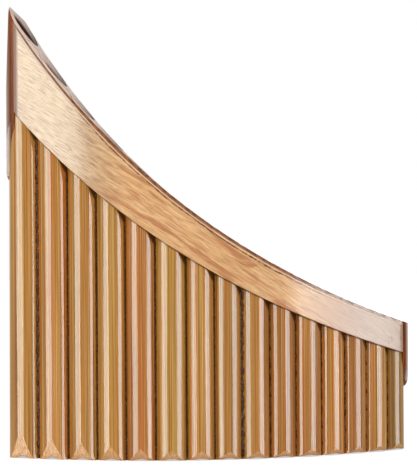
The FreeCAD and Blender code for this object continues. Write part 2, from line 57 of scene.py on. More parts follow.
# %% Lengths of the row
MM = 0.001
ROW_RADIUS = 0.295
ARC_MIDDLE = np.array([-0.000671, -0.010730])
LONG_DIAMETER = 0.0187
SHORT_DIAMETER = 0.0136
TAPER_POWER = 2.05
WALL = 0.0023
FLAT_SHARE = 0.92  # of the cane's radius, from its middle to a flat
CANE_SHARES = np.array([1.05, 1.04, 0.985, 0.97, 1.005, 1.04, 0.97, 0.97,
                        1.02, 1.0, 1.045, 1.015, 1.02, 1.08, 0.98])
PIPES = len(CANE_SHARES)


def even_diameter(share):
    """The cane's diameter falls from long to short as the share of the way, to a power."""
    return LONG_DIAMETER - (LONG_DIAMETER - SHORT_DIAMETER) * share**TAPER_POWER


radii = even_diameter(np.arange(PIPES) / (PIPES - 1)) * CANE_SHARES / 2
flats = radii * FLAT_SHARE
half_sectors = np.arctan(flats / ROW_RADIUS)
HALF_ROW = half_sectors.sum()
angles = 2 * np.cumsum(half_sectors) - half_sectors - HALF_ROW
seam_angles = angles[:-1] + half_sectors[:-1]
print("pipe angles in degrees:", np.degrees(angles).round(1))

# %% [markdown]
# ## From a pipe's own place to the row
#
# It is easiest to draw a pipe standing at its own origin, with its front towards -Y. Turning it by
# its angle and moving it onto the arc puts it in the row. The way back, from a point to its angle
# along the row and its distance outward from the arc, is needed for the slanting cuts that run
# through all the pipes.

# %% Places in the row
def to_row(angle, x, y, z):
    """Turns (x, y) by the angle and moves it onto the arc."""
    along = ARC_MIDDLE[0] + ROW_RADIUS * math.sin(angle) + x * math.cos(angle) - y * math.sin(angle)
    depth = ARC_MIDDLE[1] + ROW_RADIUS * (1 - math.cos(angle)) + x * math.sin(angle) + y * math.cos(angle)
    return np.stack(np.broadcast_arrays(along, depth, z), axis=-1)


def row_angle_and_outward(angle, x, y):
    """Angle along the row and distance outward of a point drawn at a pipe's own place."""
    return angle + np.arctan2(x, ROW_RADIUS - y), np.hypot(x, ROW_RADIUS - y) - ROW_RADIUS


def row_polar(plan):
    """Angle along the row and distance outward of points of the plan."""
    from_axis = plan - ARC_MIDDLE - [0, ROW_RADIUS]
    outward = np.hypot(*np.moveaxis(from_axis, -1, 0)) - ROW_RADIUS
    return np.arctan2(from_axis[..., 0], -from_axis[..., 1]), outward


def along_row(angle):
    """0 at the long end of the row and 1 at the short end."""
    return (angle + HALF_ROW) / (2 * HALF_ROW)


print("the first pipe stands at", to_row(angles[0], 0, 0, 0).round(4))

# %% [markdown]
# ## Two curves
#
# Two plain curves draw nearly everything on this flute. A decaying exponential gives the height of
# the blowing line, of the bands and of the facets at the feet, since each falls fast at the long
# end and slowly at the short one. A circle through three points gives every arc.

# %% Two curves
def falling_curve(angle, long_height, short_height, steepness):
    """A height that decays along the row: exp(-steepness * share), fitted to both ends."""
    end = math.exp(-steepness)
    fall = (long_height - short_height) * (np.exp(-steepness * along_row(angle)) - end)
    return short_height + fall / (1 - end)


def circle_through(a, b, c):
    """Centre and radius of the circle through three points: both lie where two bisectors cross."""
    matrix = 2 * np.array([b - a, c - a])
    centre = np.linalg.solve(matrix, [b @ b - a @ a, c @ c - a @ a])
    return centre, np.linalg.norm(a - centre)


print("half way down a fall from 1 to 0, steepness 2:", round(float(falling_curve(0, 1, 0, 2)), 2))

# %% [markdown]
# ## The blowing line
#
# All the mouths lie on one smooth line that falls as the notes rise. The lip is a ridge just
# outside the bores, and everything at the top of the flute is measured from it. Each cut is
# written as a height over the plan, so that the same cut can run on over cane, glue and board.

# %% The lip
LIP_HEIGHTS = (0.2645, 0.0759)
LIP_STEEPNESS = 1.62
LIP_MARGIN = 0.0003


def lip_height(angle):
    """The ridge falls along the row."""
    return falling_curve(angle, *LIP_HEIGHTS, LIP_STEEPNESS)


def lip_outward(angle):
    """The ridge moves in as the cane grows thin."""
    return even_diameter(np.clip(along_row(angle), 0, 1)) / 2 - WALL + LIP_MARGIN


print("lip in mm:", [round(1000 * float(lip_height(angle)), 1) for angle in angles[[0, 7, 14]]])

# %% [markdown]
# ## The rounded tip
#
# At the long end the ridge alone would rise to a thin spike, so the real flute is rounded there.
# Seen from the front, this cut is a steep line up to the tip, then a circle's arc that comes down
# onto the blowing line.

# %% The tip
TIP_INSET = 0.00085
TIP_HEIGHT = 0.2626
TIP_LEAN = 0.0519 / 0.0021  # the rise of the steep line over its run
TIP_ROUND = np.array([0.0140, -0.0136])  # from the tip to the far end of the arc
TIP_MIDWAY = [0.41, 0.34]  # the arc's third point, as shares of that way
NO_CUT = 1.0  # a height above everything

outer_corner = to_row(angles[0], -flats[0], -radii[0] * math.sqrt(1 - FLAT_SHARE**2), 0.0)
TIP = np.array([outer_corner[0] - ARC_MIDDLE[0] + TIP_INSET, TIP_HEIGHT])
tip_centre, tip_radius = circle_through(TIP, TIP + TIP_ROUND * TIP_MIDWAY, TIP + TIP_ROUND)


def tip_cut(angle, outward):
    """A steep line up to the tip, then a circle's arc over it, then nothing is cut."""
    x = (ROW_RADIUS + outward) * np.sin(angle)
    arc = tip_centre[1] + np.sqrt(np.maximum(tip_radius**2 - (x - tip_centre[0]) ** 2, 0))
    past_tip = np.where(x < TIP[0] + TIP_ROUND[0], arc, NO_CUT)
    return np.where(x < TIP[0], TIP[1] - (TIP[0] - x) * TIP_LEAN, past_tip)


print("the tip's arc has a radius of", round(1000 * float(tip_radius), 1), "mm")

# %% [markdown]
# ## All the cuts together
#
# In front of the lip a bevel falls to the audience, behind it lies the cut through the mouths, and
# a second bevel eases the rear edge. What is left of the flute lies under the lowest cut. Real
# edges are never perfectly sharp, so the cuts are joined by a soft minimum, which rounds the ridge.

# %% The top of the flute
LIP_TILT = 0.01
BEVEL_FALL = 0.9
RIDGE_SOFTNESS = 0.00008


def top_cuts(angle, outward):
    """Heights of the four cuts: the front bevel, the mouths, the rear bevel and the tip."""
    lip = lip_height(angle)
    ridge = lip_outward(angle)
    front = lip - (outward - ridge) * BEVEL_FALL
    mouths = lip - (ridge - outward) * LIP_TILT
    rear = lip - 2 * ridge * LIP_TILT - (-ridge - outward) * BEVEL_FALL
    return np.stack(np.broadcast_arrays(front, mouths, rear, tip_cut(angle, outward)))


def top_height(angle, outward):
    """Soft minimum of the cuts: lowest - s * log(sum of exp((lowest - cut) / s))."""
    cuts = top_cuts(angle, outward)
    low = cuts.min(axis=0)
    return low - RIDGE_SOFTNESS * np.log(np.exp((low - cuts) / RIDGE_SOFTNESS).sum(axis=0))


print("middle of the first mouth in mm:", round(1000 * float(top_height(angles[0], 0.0)), 1))

# %% [markdown]
# ## The feet
#
# Each foot stands on a flat land across its middle. In front and behind, it is ground away in a
# hollow curve, which leaves a pale facet on the cane: tall on the thick canes, low on the thin
# ones. The grinding thins out to nothing at the facet's top, so the facet ends in a fine point.

# %% Heights of the feet
FOOT_RISES = (0.0205, 0.0045)
FOOT_STEEPNESS = 4.5
FOOT_LANDS = (0.62, 0.06)  # half the land's depth at both ends of the row, in shares of the radius


def foot_height(index, y):
    """From the land's edge to the crest, a quarter ellipse: rise * (1 - sqrt(1 - share ** 2))."""
    place = along_row(angles[index])
    land = radii[index] * (FOOT_LANDS[0] + (FOOT_LANDS[1] - FOOT_LANDS[0]) * place)
    share = np.clip((np.abs(y) - land) / (radii[index] - land), 0, 1)
    return falling_curve(angles[index], *FOOT_RISES, FOOT_STEEPNESS) * (1 - np.sqrt(1 - share**2))


print("facets in mm:", [round(1000 * float(foot_height(i, radii[i])), 1) for i in (0, 4, 9, 14)])

# %% [markdown]
# ## Meshes from arrays
#
# Every new surface here is a grid of points. A grid can wrap round in one way or both, like a
# tube or a ring, so that it closes without a seam. The faces come from index arithmetic, and the
# volume that they enclose tells whether they point outward: it is negative when they don't.

# %% Faces of a grid
def grid_faces(rows, columns, wrap_rows):
    """The four corners of each cell, for a grid whose columns wrap round."""
    r, c = np.meshgrid(np.arange(rows if wrap_rows else rows - 1), np.arange(columns), indexing="ij")
    below, beside = (r + 1) % rows, (c + 1) % columns
    corners = [r * columns + c, r * columns + beside, below * columns + beside, below * columns + c]
    return np.stack(corners, axis=-1).reshape(-1, 4)


def enclosed_volume(points, faces):
    """Sum over the faces of the tetrahedra that they make with the origin."""
    a, b, c, d = (points[faces[:, corner]] for corner in range(4))
    volume = np.einsum("ij,ij->i", a, np.cross(b, c)) + np.einsum("ij,ij->i", a, np.cross(c, d))
    return volume.sum() / 6


print("cells of an open tube, 5 rings of 8 points:", len(grid_faces(5, 8, False)))

# %% [markdown]
# A mesh can carry more than its shape. Values such as a distance or a mask are stored beside the
# points, and a flat map is stored on the corners of the faces. Both are read by the finishes.

# %% A grid becomes a mesh
SHARP_ANGLE = math.radians(32)


def store_values(mesh, values):
    """Stores named numbers, one for each point."""
    for key, value in values.items():
        attribute = mesh.attributes.new(key, "FLOAT", "POINT")
        attribute.data.foreach_set("value", np.ascontiguousarray(value, np.float32).ravel())


def store_map(mesh, name, flat_map):
    """Stores a flat map: each corner of a face takes the map's place of its point."""
    corner_points = np.zeros(len(mesh.loops), np.int32)
    mesh.loops.foreach_get("vertex_index", corner_points)
    layer = mesh.uv_layers.new(name=name)
    layer.data.foreach_set("uv", np.ascontiguousarray(flat_map[corner_points], np.float32).ravel())


def add_piece(name, grids, wrap_rows, values, board=None):
    """Makes one object from grids of points, with a cap on each end of a grid that stays open."""
    points, faces, caps, start = [], [], [], 0
    for grid in grids:
        rows, columns, _ = grid.shape
        flat = grid.reshape(-1, 3)
        quads = grid_faces(rows, columns, wrap_rows)
        inside_out = enclosed_volume(flat - flat.mean(axis=0), quads) < 0
        if inside_out:
            quads = quads[:, ::-1]
        if not wrap_rows:
            ends = [np.arange(columns)[::-1], np.arange(columns) + (rows - 1) * columns]
            caps += [(end[::-1] if inside_out else end) + start for end in ends]
        points.append(flat)
        faces.append(quads + start)
        start += len(flat)
    mesh = bpy.data.meshes.new(name)
    polygons = np.concatenate(faces).tolist() + [cap.tolist() for cap in caps]
    mesh.from_pydata(np.concatenate(points).tolist(), [], polygons)
    store_values(mesh, values)
    if board is not None:
        store_map(mesh, "board", board)
    mesh.shade_smooth()
    mesh.set_sharp_from_angle(angle=SHARP_ANGLE)
    piece = bpy.data.objects.new(name, mesh)
    bpy.context.scene.collection.objects.link(piece)
    return piece


print("edges sharper than", round(math.degrees(SHARP_ANGLE)), "degrees stay crisp")

# %% [markdown]
# ## The outside of a cane
#
# Seen from above, a cane is a ring with two ground flats. Bamboo is never quite round or straight,
# and its lacquer shows it in wavy highlights, so the outside gets shallow swells. The first cane
# widens a little towards its foot on its free side.

# %% The outside of a cane
SWELL_DEPTH = 0.00009
LONG_SWELL = 0.031
SHORT_SWELL = 0.017
FLARE = 0.0009
FLARE_HEIGHT = 0.15
NEARLY_NOTHING = 1e-6
SEED = 15

rng = np.random.default_rng(SEED)


def ring_radius(index, turn):
    """The smaller of the cane's radius and the distance to a flat: half / (|cos| + slope * sin)."""
    slope = flats[index] / ROW_RADIUS
    to_flat = flats[index] / np.maximum(np.abs(np.cos(turn)) + slope * np.sin(turn), NEARLY_NOTHING)
    return np.minimum(radii[index], to_flat)


def swells(turn, z, phases):
    """Two slow waves round and along the cane, lowered so that they never pass its true radius."""
    long_wave = np.sin(2 * turn + phases[0] + z / LONG_SWELL)
    short_wave = np.sin(5 * turn + phases[1] - z / SHORT_SWELL) * 0.5
    return (long_wave + short_wave - 1.5) * SWELL_DEPTH / 3


def flare(index, x, z, zone):
    """The first cane's outside grows with the square of x on its free side, and fades upward."""
    return (FLARE * (index == 0) * np.clip(-x / flats[0], 0, 1) ** 2
            * np.clip(1 - z / FLARE_HEIGHT, 0, 1) * (zone != BORE))


print("radius of the first cane to the front and to the side in mm:",
      [round(1000 * float(ring_radius(0, turn)), 2) for turn in (-math.pi / 2, 0)])

# %% [markdown]
# ## The wall as one closed path
#
# The wall of a cane is drawn as one path: up the outside, in across the mouth, down the bore and
# out across the foot. Carried round the ring this path closes on itself, like the skin of a long
# ring doughnut. Each row of points remembers its zone, because each zone gets another finish.

# %% The closed path
AROUND = 132
ROWS_OUTSIDE, OUTSIDE_EDGE = 56, 0.0012
ROWS_WALL, WALL_EDGE = 14, 0.05
ROWS_BORE, BORE_EDGE = 16, 0.002
OUTSIDE, MOUTH, BORE, FOOT = range(4)


def spread(count, ends_at):
    """Steps from 0 to 1 with an extra step close to each end, which keeps the corners crisp."""
    return np.concatenate([[0, ends_at], np.linspace(0, 1, count)[1:-1], [1 - ends_at, 1]])


def cane_limits(index, radius, turn):
    """The lowest and the highest point of the wall at a radius and a turn round the cane."""
    x, y = radius * np.cos(turn), radius * np.sin(turn)
    return foot_height(index, y), top_height(*row_angle_and_outward(angles[index], x, y))


def cane_path(index, turn):
    """Radius, height and zone of the closed path, row by row."""
    outside = ring_radius(index, turn)
    bore = np.full_like(turn, radii[index] - WALL)
    phases = rng.uniform(0, 2 * np.pi, 3)
    rows = []
    low, high = cane_limits(index, outside, turn)
    for share in spread(ROWS_OUTSIDE, OUTSIDE_EDGE):
        z = low + (high - low) * share
        rows.append((outside + swells(turn, z, phases), z, OUTSIDE))
    for share in spread(ROWS_WALL, WALL_EDGE)[1:]:
        radius = outside + (bore - outside) * share
        rows.append((radius, cane_limits(index, radius, turn)[1], MOUTH))
    low, high = cane_limits(index, bore, turn)
    for share in spread(ROWS_BORE, BORE_EDGE)[1:]:
        rows.append((bore, high + (low - high) * share, BORE))
    for share in spread(ROWS_WALL, WALL_EDGE)[1:-1]:
        radius = bore + (outside - bore) * share
        rows.append((radius, cane_limits(index, radius, turn)[0], FOOT))
    zone = np.repeat([[row[2]] for row in rows], AROUND, axis=1)
    return np.stack([row[0] for row in rows]), np.stack([row[1] for row in rows]), zone


print("rows of points up the outside:", len(spread(ROWS_OUTSIDE, OUTSIDE_EDGE)))

# %% [markdown]
# ## What the finish needs to know
#
# A cane's finish changes with the place on the cane. Glue has soaked in beside the seams, with painted
# shade in the groove sides too; a thin dark line under the band is partly glue and partly painted shade;
# a painted shadow of the band fills the corner between band and groove; the bevel is brown and the bore
# has painted shade deep inside. A material can't measure how far a point is from the next cane, so
# numpy works out such distances here and stores them on the points.

# %% Distances and masks on a cane
BAND_FOOT = (0.2075, 0.0571)
BAND_STEEPNESS = 1.37
BAND_MARGIN = 0.001  # the brown stain starts this far under the band's foot
OUTER_SHARE = 0.2
FAR_BELOW = -0.01
LEFT_EASE = 0.0007  # glue and painted shade darken a left flank this much less, as the left lamp lights it
LEFT_CLEAR = 0.01  # and the corners' painted shadow of the band leaves it clear
CORNER_TAPER = 0.7
BEVEL_START = 0.0002

# How orange each cane is, from olive gold at 0 to orange brown at 1, and how dark it is
TONES = (0.45, 0.7, 0.5, 0.35, 0.9, 0.3, 0.5, 0.45, 0.6, 0.8, 0.9, 0.7, 0.85, 0.65, 0.2)
SHADES = (0.0, 0.0, 0.05, 0.0, 0.1, 0.0, 0.0, 0.15, 0.1, 0.2, 0.2, 0.05, 0.3, 0.05, 0.4)


def band_foot(angle):
    """The bands' lower edge falls along the row as the blowing line does, a little less steeply."""
    return falling_curve(angle, *BAND_FOOT, BAND_STEEPNESS)


def beside_band(index, x, z):
    """Height above the band's foot on the outer part of the two end canes, and far below it elsewhere."""
    outer = -x if index == 0 else x if index == PIPES - 1 else -np.ones_like(x)
    above = z - band_foot(angles[index]) + BAND_MARGIN
    return np.where(outer > OUTER_SHARE * radii[index], above, FAR_BELOW)


def cane_values(index, x, y, z, zone):
    """For each point: the cane's own numbers, distances in metres, and masks of 0 or 1."""
    angle, outward = row_angle_and_outward(angles[index], x, y)
    cuts = top_cuts(angle, outward)
    on_bevel = (zone == MOUTH) & (cuts.argmin(axis=0) == 0)
    below = band_foot(angle) - z
    to_seam = flats[index] - np.abs(x)
    return {
        "tone": np.full(z.shape, TONES[index]),
        "along": np.full(z.shape, index / (PIPES - 1)),
        "shade": np.full(z.shape, SHADES[index]),
        # seam, below_band and corner are distances for the glue and for the painted shade and shadow
        "seam": to_seam + LEFT_EASE * (x < 0),
        "front_bevel": on_bevel & (cuts[1] - cuts[0] > BEVEL_START),
        "past_ridge": outward - lip_outward(angle),
        "below_band": below,
        "corner": to_seam + LEFT_CLEAR * (x < 0) + CORNER_TAPER * below,
        "mouth": (zone == MOUTH) & ~on_bevel,
        "depth": np.where(zone == BORE, cuts[1] - z, 0),
        "bore": zone == BORE,
        "foot": zone == FOOT,
        "beside_band": beside_band(index, x, z),
    }


print("foot of the bands in mm:", [round(1000 * float(band_foot(angle)), 1) for angle in angles[[0, 14]]])

# %% [markdown]
# ## Fifteen canes
#
# One function makes every pipe from its number. The path is carried round the ring, moved into
# the row and handed over: the piece stands for the CAD pipe and rides on the flute's body.

# %% Fifteen canes
def make_cane(index):
    """One pipe: its path carried round the ring, and moved into the row."""
    turn = np.linspace(0, 2 * np.pi, AROUND, endpoint=False)
    radius, z, zone = cane_path(index, turn)
    x, y = radius * np.cos(turn), radius * np.sin(turn)
    grid = to_row(angles[index], x - flare(index, x, z, zone), y, z)
    piece = add_piece(f"cane_{index + 1:02d}", [grid], True, cane_values(index, x, y, z, zone))
    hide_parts(f"pipe_{index + 1:02d}")
    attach(piece, "flute")
    return piece


canes = [make_cane(index) for index in range(PIPES)]
print("triangles in one cane:", 2 * len(canes[0].data.polygons))

# %% [markdown]
# ## The bands
#
# A band is a thin board bent round the crests of the canes. In plan both its faces are arcs through
# three points: one at each end of the row and one in the middle. Its outer face is a little shorter
# than its inner one, so the ends are bevelled.

# %% The plan of a bent board
BAND_THICKNESS = 0.0014
BAND_LET_IN = 0.0003
BAND_ENDS = (0.27, 0.40)  # how far past the end canes' middles it reaches, in shares of their radii
BAND_BEVELS = (-0.03, 0.09)  # the same for its bevelled face
SEAT_STEPS = 200


def arc_points(a, b, c, share):
    """Points on the arc from a through b to c, at shares of its angle."""
    centre, radius = circle_through(a, b, c)
    start, end = (math.atan2(*(p - centre)[::-1]) for p in (a, c))
    turn = start + (end - start) * share
    return centre + radius * np.stack([np.cos(turn), np.sin(turn)], axis=-1)


def plan_points(side, rise, end_shares, share):
    """The plan of one face of a band, at a rise above its seat on the canes."""
    ends = []
    for index, way, end_share in ((0, -1, end_shares[0]), (PIPES - 1, 1, end_shares[1])):
        seat = radii[index] - BAND_LET_IN + rise
        ends.append(to_row(angles[index], way * radii[index] * end_share, -side * seat, 0)[:2])
    middle = to_row(0, 0, -side * (even_diameter(0.5) / 2 - BAND_LET_IN + rise), 0)[:2]
    return arc_points(ends[0], middle, ends[1], share)


def seat_outward(side, angle):
    """How far outward the inner face of a band lies at an angle along the row."""
    seat_angle, outward = row_polar(plan_points(side, 0, BAND_ENDS, np.linspace(0, 1, SEAT_STEPS)))
    return np.interp(angle, seat_angle, outward)


print("inner face at the middle of the row, in mm outward:", round(1000 * float(seat_outward(1, 0)), 2))

# %% [markdown]
# ## The section of a board
#
# Cut across, a board is a long thin rectangle. Its lower edge is square with a broken corner, and
# its upper edge follows the bevel of the blowing line. The section is drawn as one closed path and
# carried along the plan. Each row of it also says how far it lies below the rim, and whether the
# wood is cut bare there.

# %% The section of a board
BAND_ARRIS = 0.0004
BAND_END_DROP = 0.0007
BAND_STATIONS, STATION_EDGE = 240, 0.0005
FACE_ROWS, FACE_EDGE = 12, 0.004
TOP_STEPS = (0, 0.25, 0.4, 0.7, 1)
BARE_FROM = 0.3
BACK_ROWS = 8


def board_plans(side):
    """The plans of the face and of the back, with the same number of points."""
    face = plan_points(side, BAND_THICKNESS, BAND_BEVELS, spread(BAND_STATIONS, STATION_EDGE))
    lip = plan_points(side, BAND_THICKNESS - BAND_END_DROP, BAND_ENDS, np.array([0.0, 1.0]))
    face = np.concatenate([lip[:1], (lip[:1] + face[:1]) / 2, face, (lip[1:] + face[-1:]) / 2, lip[1:]])
    return face, plan_points(side, 0, BAND_ENDS, np.linspace(0, 1, len(face)))


def band_rows(side):
    """Rows of the path: up the face, over the top, down the back, and under the broken corner."""
    face, back = board_plans(side)
    at_rim, far_below = np.zeros(len(face)), np.ones(len(face))
    low, high = band_foot(row_polar(face)[0]) + BAND_ARRIS, top_height(*row_polar(face))
    rows = [(face, low + (high - low) * step, (high - low) * (1 - step), 0)
            for step in spread(FACE_ROWS, FACE_EDGE)]
    for step in TOP_STEPS:
        plan = face + (back - face) * step
        rows.append((plan, top_height(*row_polar(plan)), at_rim, step > BARE_FROM))
    back_low, back_high = band_foot(row_polar(back)[0]), top_height(*row_polar(back))
    rows += [(back, back_high + (back_low - back_high) * step, far_below, 0)
             for step in np.linspace(0, 1, BACK_ROWS)]
    inward = (back - face) / np.linalg.norm(back - face, axis=1, keepdims=True)
    broken = face + inward * BAND_ARRIS
    rows.append((broken, band_foot(row_polar(broken)[0]), far_below, 0))
    return rows


print("rows of points in a section:", len(band_rows(1)))

# %% [markdown]
# ## Two boards
#
# Wood grain has to bend with the board, so a board also carries its own flat map, in metres: the
# way along the arc and the height, turned so that U runs with the grain.

# %% Two boards
GRAIN_SLOPE = math.radians(-34)
LONG_END_STATIONS = 2


def make_band(name, side):
    """One board, with its flat map and the values that its finish needs."""
    rows = band_rows(side)
    plan = np.stack([row[0] for row in rows], axis=1)
    height = np.stack([row[1] for row in rows], axis=1)
    grid = np.concatenate([plan, height[..., None]], axis=-1)
    along = row_polar(plan)[0] * ROW_RADIUS
    board = np.stack([along * math.cos(GRAIN_SLOPE) + height * math.sin(GRAIN_SLOPE),
                      height * math.cos(GRAIN_SLOPE) - along * math.sin(GRAIN_SLOPE)], axis=-1)
    long_end = np.repeat((np.arange(len(plan)) <= LONG_END_STATIONS)[:, None], len(rows), axis=1)
    values = {"rim": np.stack([row[2] for row in rows], axis=1), "long_end": long_end,
              "bare": np.stack([np.full(len(plan), row[3]) for row in rows], axis=1)}
    piece = add_piece(f"{name}_board", [grid], False, values, board.reshape(-1, 2))
    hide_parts(name)
    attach(piece, "flute")
    return piece


bands = [make_band("front_band", 1), make_band("back_band", -1)]
print("triangles in a band:", 2 * len(bands[0].data.polygons))

# %% [markdown]
# ## The glue in the grooves
#
# Glue and dust fill the bottom of each groove between two canes in a dark ragged line, thin in
# some grooves and thick in others. Behind the bands the glue fills the groove up to the board, so
# the bevel of the blowing line runs on over it. Each bar is a closed path, up the hollow outer
# face, in over the top and down the back, carried across the groove. A sum of sines with set
# phases makes it rough, so it is the same in every render.

# %% The groove and its glue
GLUE_FILLS = (1.9, 0.8, 1.1, 0.9, 1.2, 0.7, 0.9, 2.0, 0.8, 1.1, 0.8, 1.0, 0.8, 0.8)  # in mm
GLUE_ROUGHNESS, GLUE_ROUGHNESS_PER_FILL = 0.00012, 0.00014
GLUE_BITE = 0.00015
BAND_COVER_START, BAND_COVER_RUN = 3 * MM, 7 * MM
RAGGED_LENGTHS = np.array([9.0, 5.3, 3.1, 2.1, 1.3]) * MM
RAGGED_TWIST = 2.4


def ragged(z, across, phases):
    """Sines of several lengths, from 9 mm down to 1.3 mm, in both directions."""
    waves = [np.sin(2 * np.pi * z / length + phase + RAGGED_TWIST * across * (n + 1)) / (n + 1.5)
             for n, (length, phase) in enumerate(zip(RAGGED_LENGTHS, phases))]
    return sum(waves)


def groove_half(radius, depth):
    """Half the groove's width at a depth: flat - sqrt(radius ** 2 - depth ** 2)."""
    half = radius * FLAT_SHARE - np.sqrt(np.maximum(radius**2 - depth**2, 0))
    return np.maximum(half, 0) + GLUE_BITE


print("shortest and longest ripple in mm:", 1000 * RAGGED_LENGTHS.min(), 1000 * RAGGED_LENGTHS.max())

# %% [markdown]
# A bar's outer face is drawn first as it lies in the open groove, and then moved out to the board
# over a few millimetres above the band's foot. Its sides follow the two canes that it sits between.

# %% One bar of glue
GLUE_ROWS, OVER_ROWS, DOWN_ROWS = 190, 13, 8
GLUE_ACROSS = 9
GLUE_LIFT = 0.0015
GLUE_INNER = 0.3
GLUE_HOLLOW = 0.0005
GLUE_EASE = 0.00012
SEAT_MARGIN = 0.0002


def glue_bar(index, side, phases):
    """One bar drawn as (depth, height) rows across the groove, its top rows and its ridge distance."""
    angle = seam_angles[index]
    radius = (radii[index] + radii[index + 1]) / 2
    across = np.linspace(-1, 1, GLUE_ACROSS)[:, None]
    rise = np.linspace(0, 1, GLUE_ROWS)[None, :]
    length = rise * (lip_height(angle) - GLUE_LIFT)
    filled = np.clip((length - band_foot(angle) - BAND_COVER_START) / BAND_COVER_RUN, 0, 1)
    roughness = GLUE_ROUGHNESS + GLUE_ROUGHNESS_PER_FILL * GLUE_FILLS[index]
    bottom = radius * math.sqrt(1 - FLAT_SHARE**2)
    open_reach = bottom + GLUE_FILLS[index] * MM + roughness * (ragged(length, 0, phases) - 1)
    seat = side * seat_outward(side, angle) + SEAT_MARGIN
    reach = open_reach + (seat - open_reach) * filled
    ripples = roughness / 2 * ragged(length, across, phases[::-1])
    face = reach + (1 - filled) * (ripples - GLUE_HOLLOW * (1 - across**2))
    over = seat + (radius * GLUE_INNER - seat) * np.linspace(0, 1, OVER_ROWS + 1)[None, 1:]
    back = np.full((1, DOWN_ROWS), radius * GLUE_INNER)
    depth = np.concatenate([face, np.repeat(over, GLUE_ACROSS, 0), np.repeat(back, GLUE_ACROSS, 0)], axis=1)
    widest = np.concatenate([np.repeat(reach, GLUE_ACROSS, 0), depth[:, GLUE_ROWS:]], axis=1)
    share = np.concatenate([rise, np.ones((1, OVER_ROWS)), np.linspace(1, 0, DOWN_ROWS)[None, :]], axis=1)
    x, y = groove_half(radius, widest) * across, -side * depth
    row_place = row_angle_and_outward(angle, x, y)
    high = top_height(*row_place) - GLUE_EASE
    points = to_row(angle, x, y, GLUE_LIFT + (high - GLUE_LIFT) * share)
    return points, np.broadcast_to(share == 1, x.shape), row_place[1] - lip_outward(row_place[0])


def make_seams(name, node, side):
    """All the bars on one side of the row, as one piece."""
    bars = [glue_bar(index, side, rng.uniform(0, 2 * np.pi, 5)) for index in range(PIPES - 1)]
    grids, cuts, past_ridges = zip(*bars)
    values = {"cut": np.concatenate([cut.ravel() for cut in cuts]),
              "past_ridge": np.concatenate([past.ravel() for past in past_ridges])}
    piece = add_piece(name, grids, False, values)
    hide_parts(node)
    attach(piece, "flute")
    return piece


seams = [make_seams("front_seams", "front_glue", 1), make_seams("back_seams", "back_glue", -1)]
print("triangles in the front seams:", 2 * len(seams[0].data.polygons))

# %% [markdown]
# ## Node trees in short words
#
# A material is a tree of nodes, and writing one needs the same three moves again and again: make a
# node, set its numbers, link its inputs. A small class holds them under short names, so that a
# finish reads like a recipe. Colours are written as on a painter's chart and turned into the
# linear values that shaders work with.

# %% Colours
def linear(value):
    """One channel, 0 to 255, made linear: a straight line up to 10, then a power of 2.4."""
    return value / 255 / 12.92 if value <= 10 else ((value / 255 + 0.055) / 1.055) ** 2.4


def srgb(red, green, blue):
    """A colour as a painter's chart gives it, 0 to 255, in linear values."""
    return (linear(red), linear(green), linear(blue), 1)


print("a middle grey of 128 in linear values:", round(linear(128), 3))

# %% Short names for nodes
class Tree:
    """Short names for the nodes of one tree. Most of them return the output that is used next."""

    def __init__(self, tree):
        self.tree = tree

    def node(self, kind, **settings):
        made = self.tree.nodes.new(kind)
        for key, value in settings.items():
            setattr(made, key, value)
        return made

    def put(self, socket, value):
        if isinstance(value, bpy.types.NodeSocket):
            self.tree.links.new(value, socket)
        else:
            socket.default_value = value

    def math(self, operation, a, b=0.0, clamp=False):
        made = self.node("ShaderNodeMath", operation=operation, use_clamp=clamp)
        self.put(made.inputs[0], a)
        self.put(made.inputs[1], b)
        return made.outputs[0]

    def plus(self, a, b):
        return self.math("ADD", a, b)

    def minus(self, a, b):
        return self.math("SUBTRACT", a, b)

    def times(self, a, b):
        return self.math("MULTIPLY", a, b)

    def higher(self, a, b):
        return self.math("MAXIMUM", a, b)

    def apart_from(self, a, b):
        """How far a is from b, either way."""
        return self.math("ABSOLUTE", self.minus(a, b))

    def vector(self, operation, a, b):
        made = self.node("ShaderNodeVectorMath", operation=operation)
        self.put(made.inputs[0], a)
        self.put(made.inputs[1], b)
        return made.outputs["Value" if operation in ("DISTANCE", "DOT_PRODUCT") else "Vector"]

    def split(self, vector):
        """X, Y and Z of a vector."""
        made = self.node("ShaderNodeSeparateXYZ")
        self.put(made.inputs[0], vector)
        return made.outputs

    def join(self, x, y, z):
        made = self.node("ShaderNodeCombineXYZ")
        for socket, value in zip(made.inputs, (x, y, z)):
            self.put(socket, value)
        return made.outputs[0]

    def noise(self, vector, scale, detail=3.0, roughness=0.5, distortion=0.0):
        made = self.node("ShaderNodeTexNoise")
        self.put(made.inputs["Vector"], vector)
        settings = {"Scale": scale, "Detail": detail, "Roughness": roughness, "Distortion": distortion}
        for label, value in settings.items():
            self.put(made.inputs[label], value)
        return made.outputs["Fac"]

    def drawn_noise(self, vector, stretch, **settings):
        """Noise drawn out: the larger the stretch on an axis, the finer it is that way."""
        return self.noise(self.vector("MULTIPLY", vector, stretch), 1.0, **settings)

    def remap(self, value, low, high, to_low=0.0, to_high=1.0):
        """A smooth step from to_low to to_high as the value goes from low to high."""
        made = self.node("ShaderNodeMapRange", interpolation_type="SMOOTHSTEP")
        for socket, number in zip(made.inputs, (value, low, high, to_low, to_high)):
            self.put(socket, number)
        return made.outputs[0]

    def mix(self, factor, a, b):
        """The colour a, with b over it by the factor."""
        made = self.node("ShaderNodeMix", data_type="RGBA")
        self.put(made.inputs["Factor"], factor)
        self.put(made.inputs[6], a)
        self.put(made.inputs[7], b)
        return made.outputs[2]

    def attribute(self, name):
        return self.node("ShaderNodeAttribute", attribute_name=name).outputs["Fac"]

    def group(self, group, **inputs):
        made = self.node("ShaderNodeGroup", node_tree=group)
        for label, value in inputs.items():
            self.put(made.inputs[label], value)
        return made.outputs

    def bump(self, height, strength, distance):
        made = self.node("ShaderNodeBump")
        self.put(made.inputs["Height"], height)
        self.put(made.inputs["Strength"], strength)
        self.put(made.inputs["Distance"], distance)
        return made.outputs[0]


print("node names:", [name for name in vars(Tree) if not name.startswith("_")])

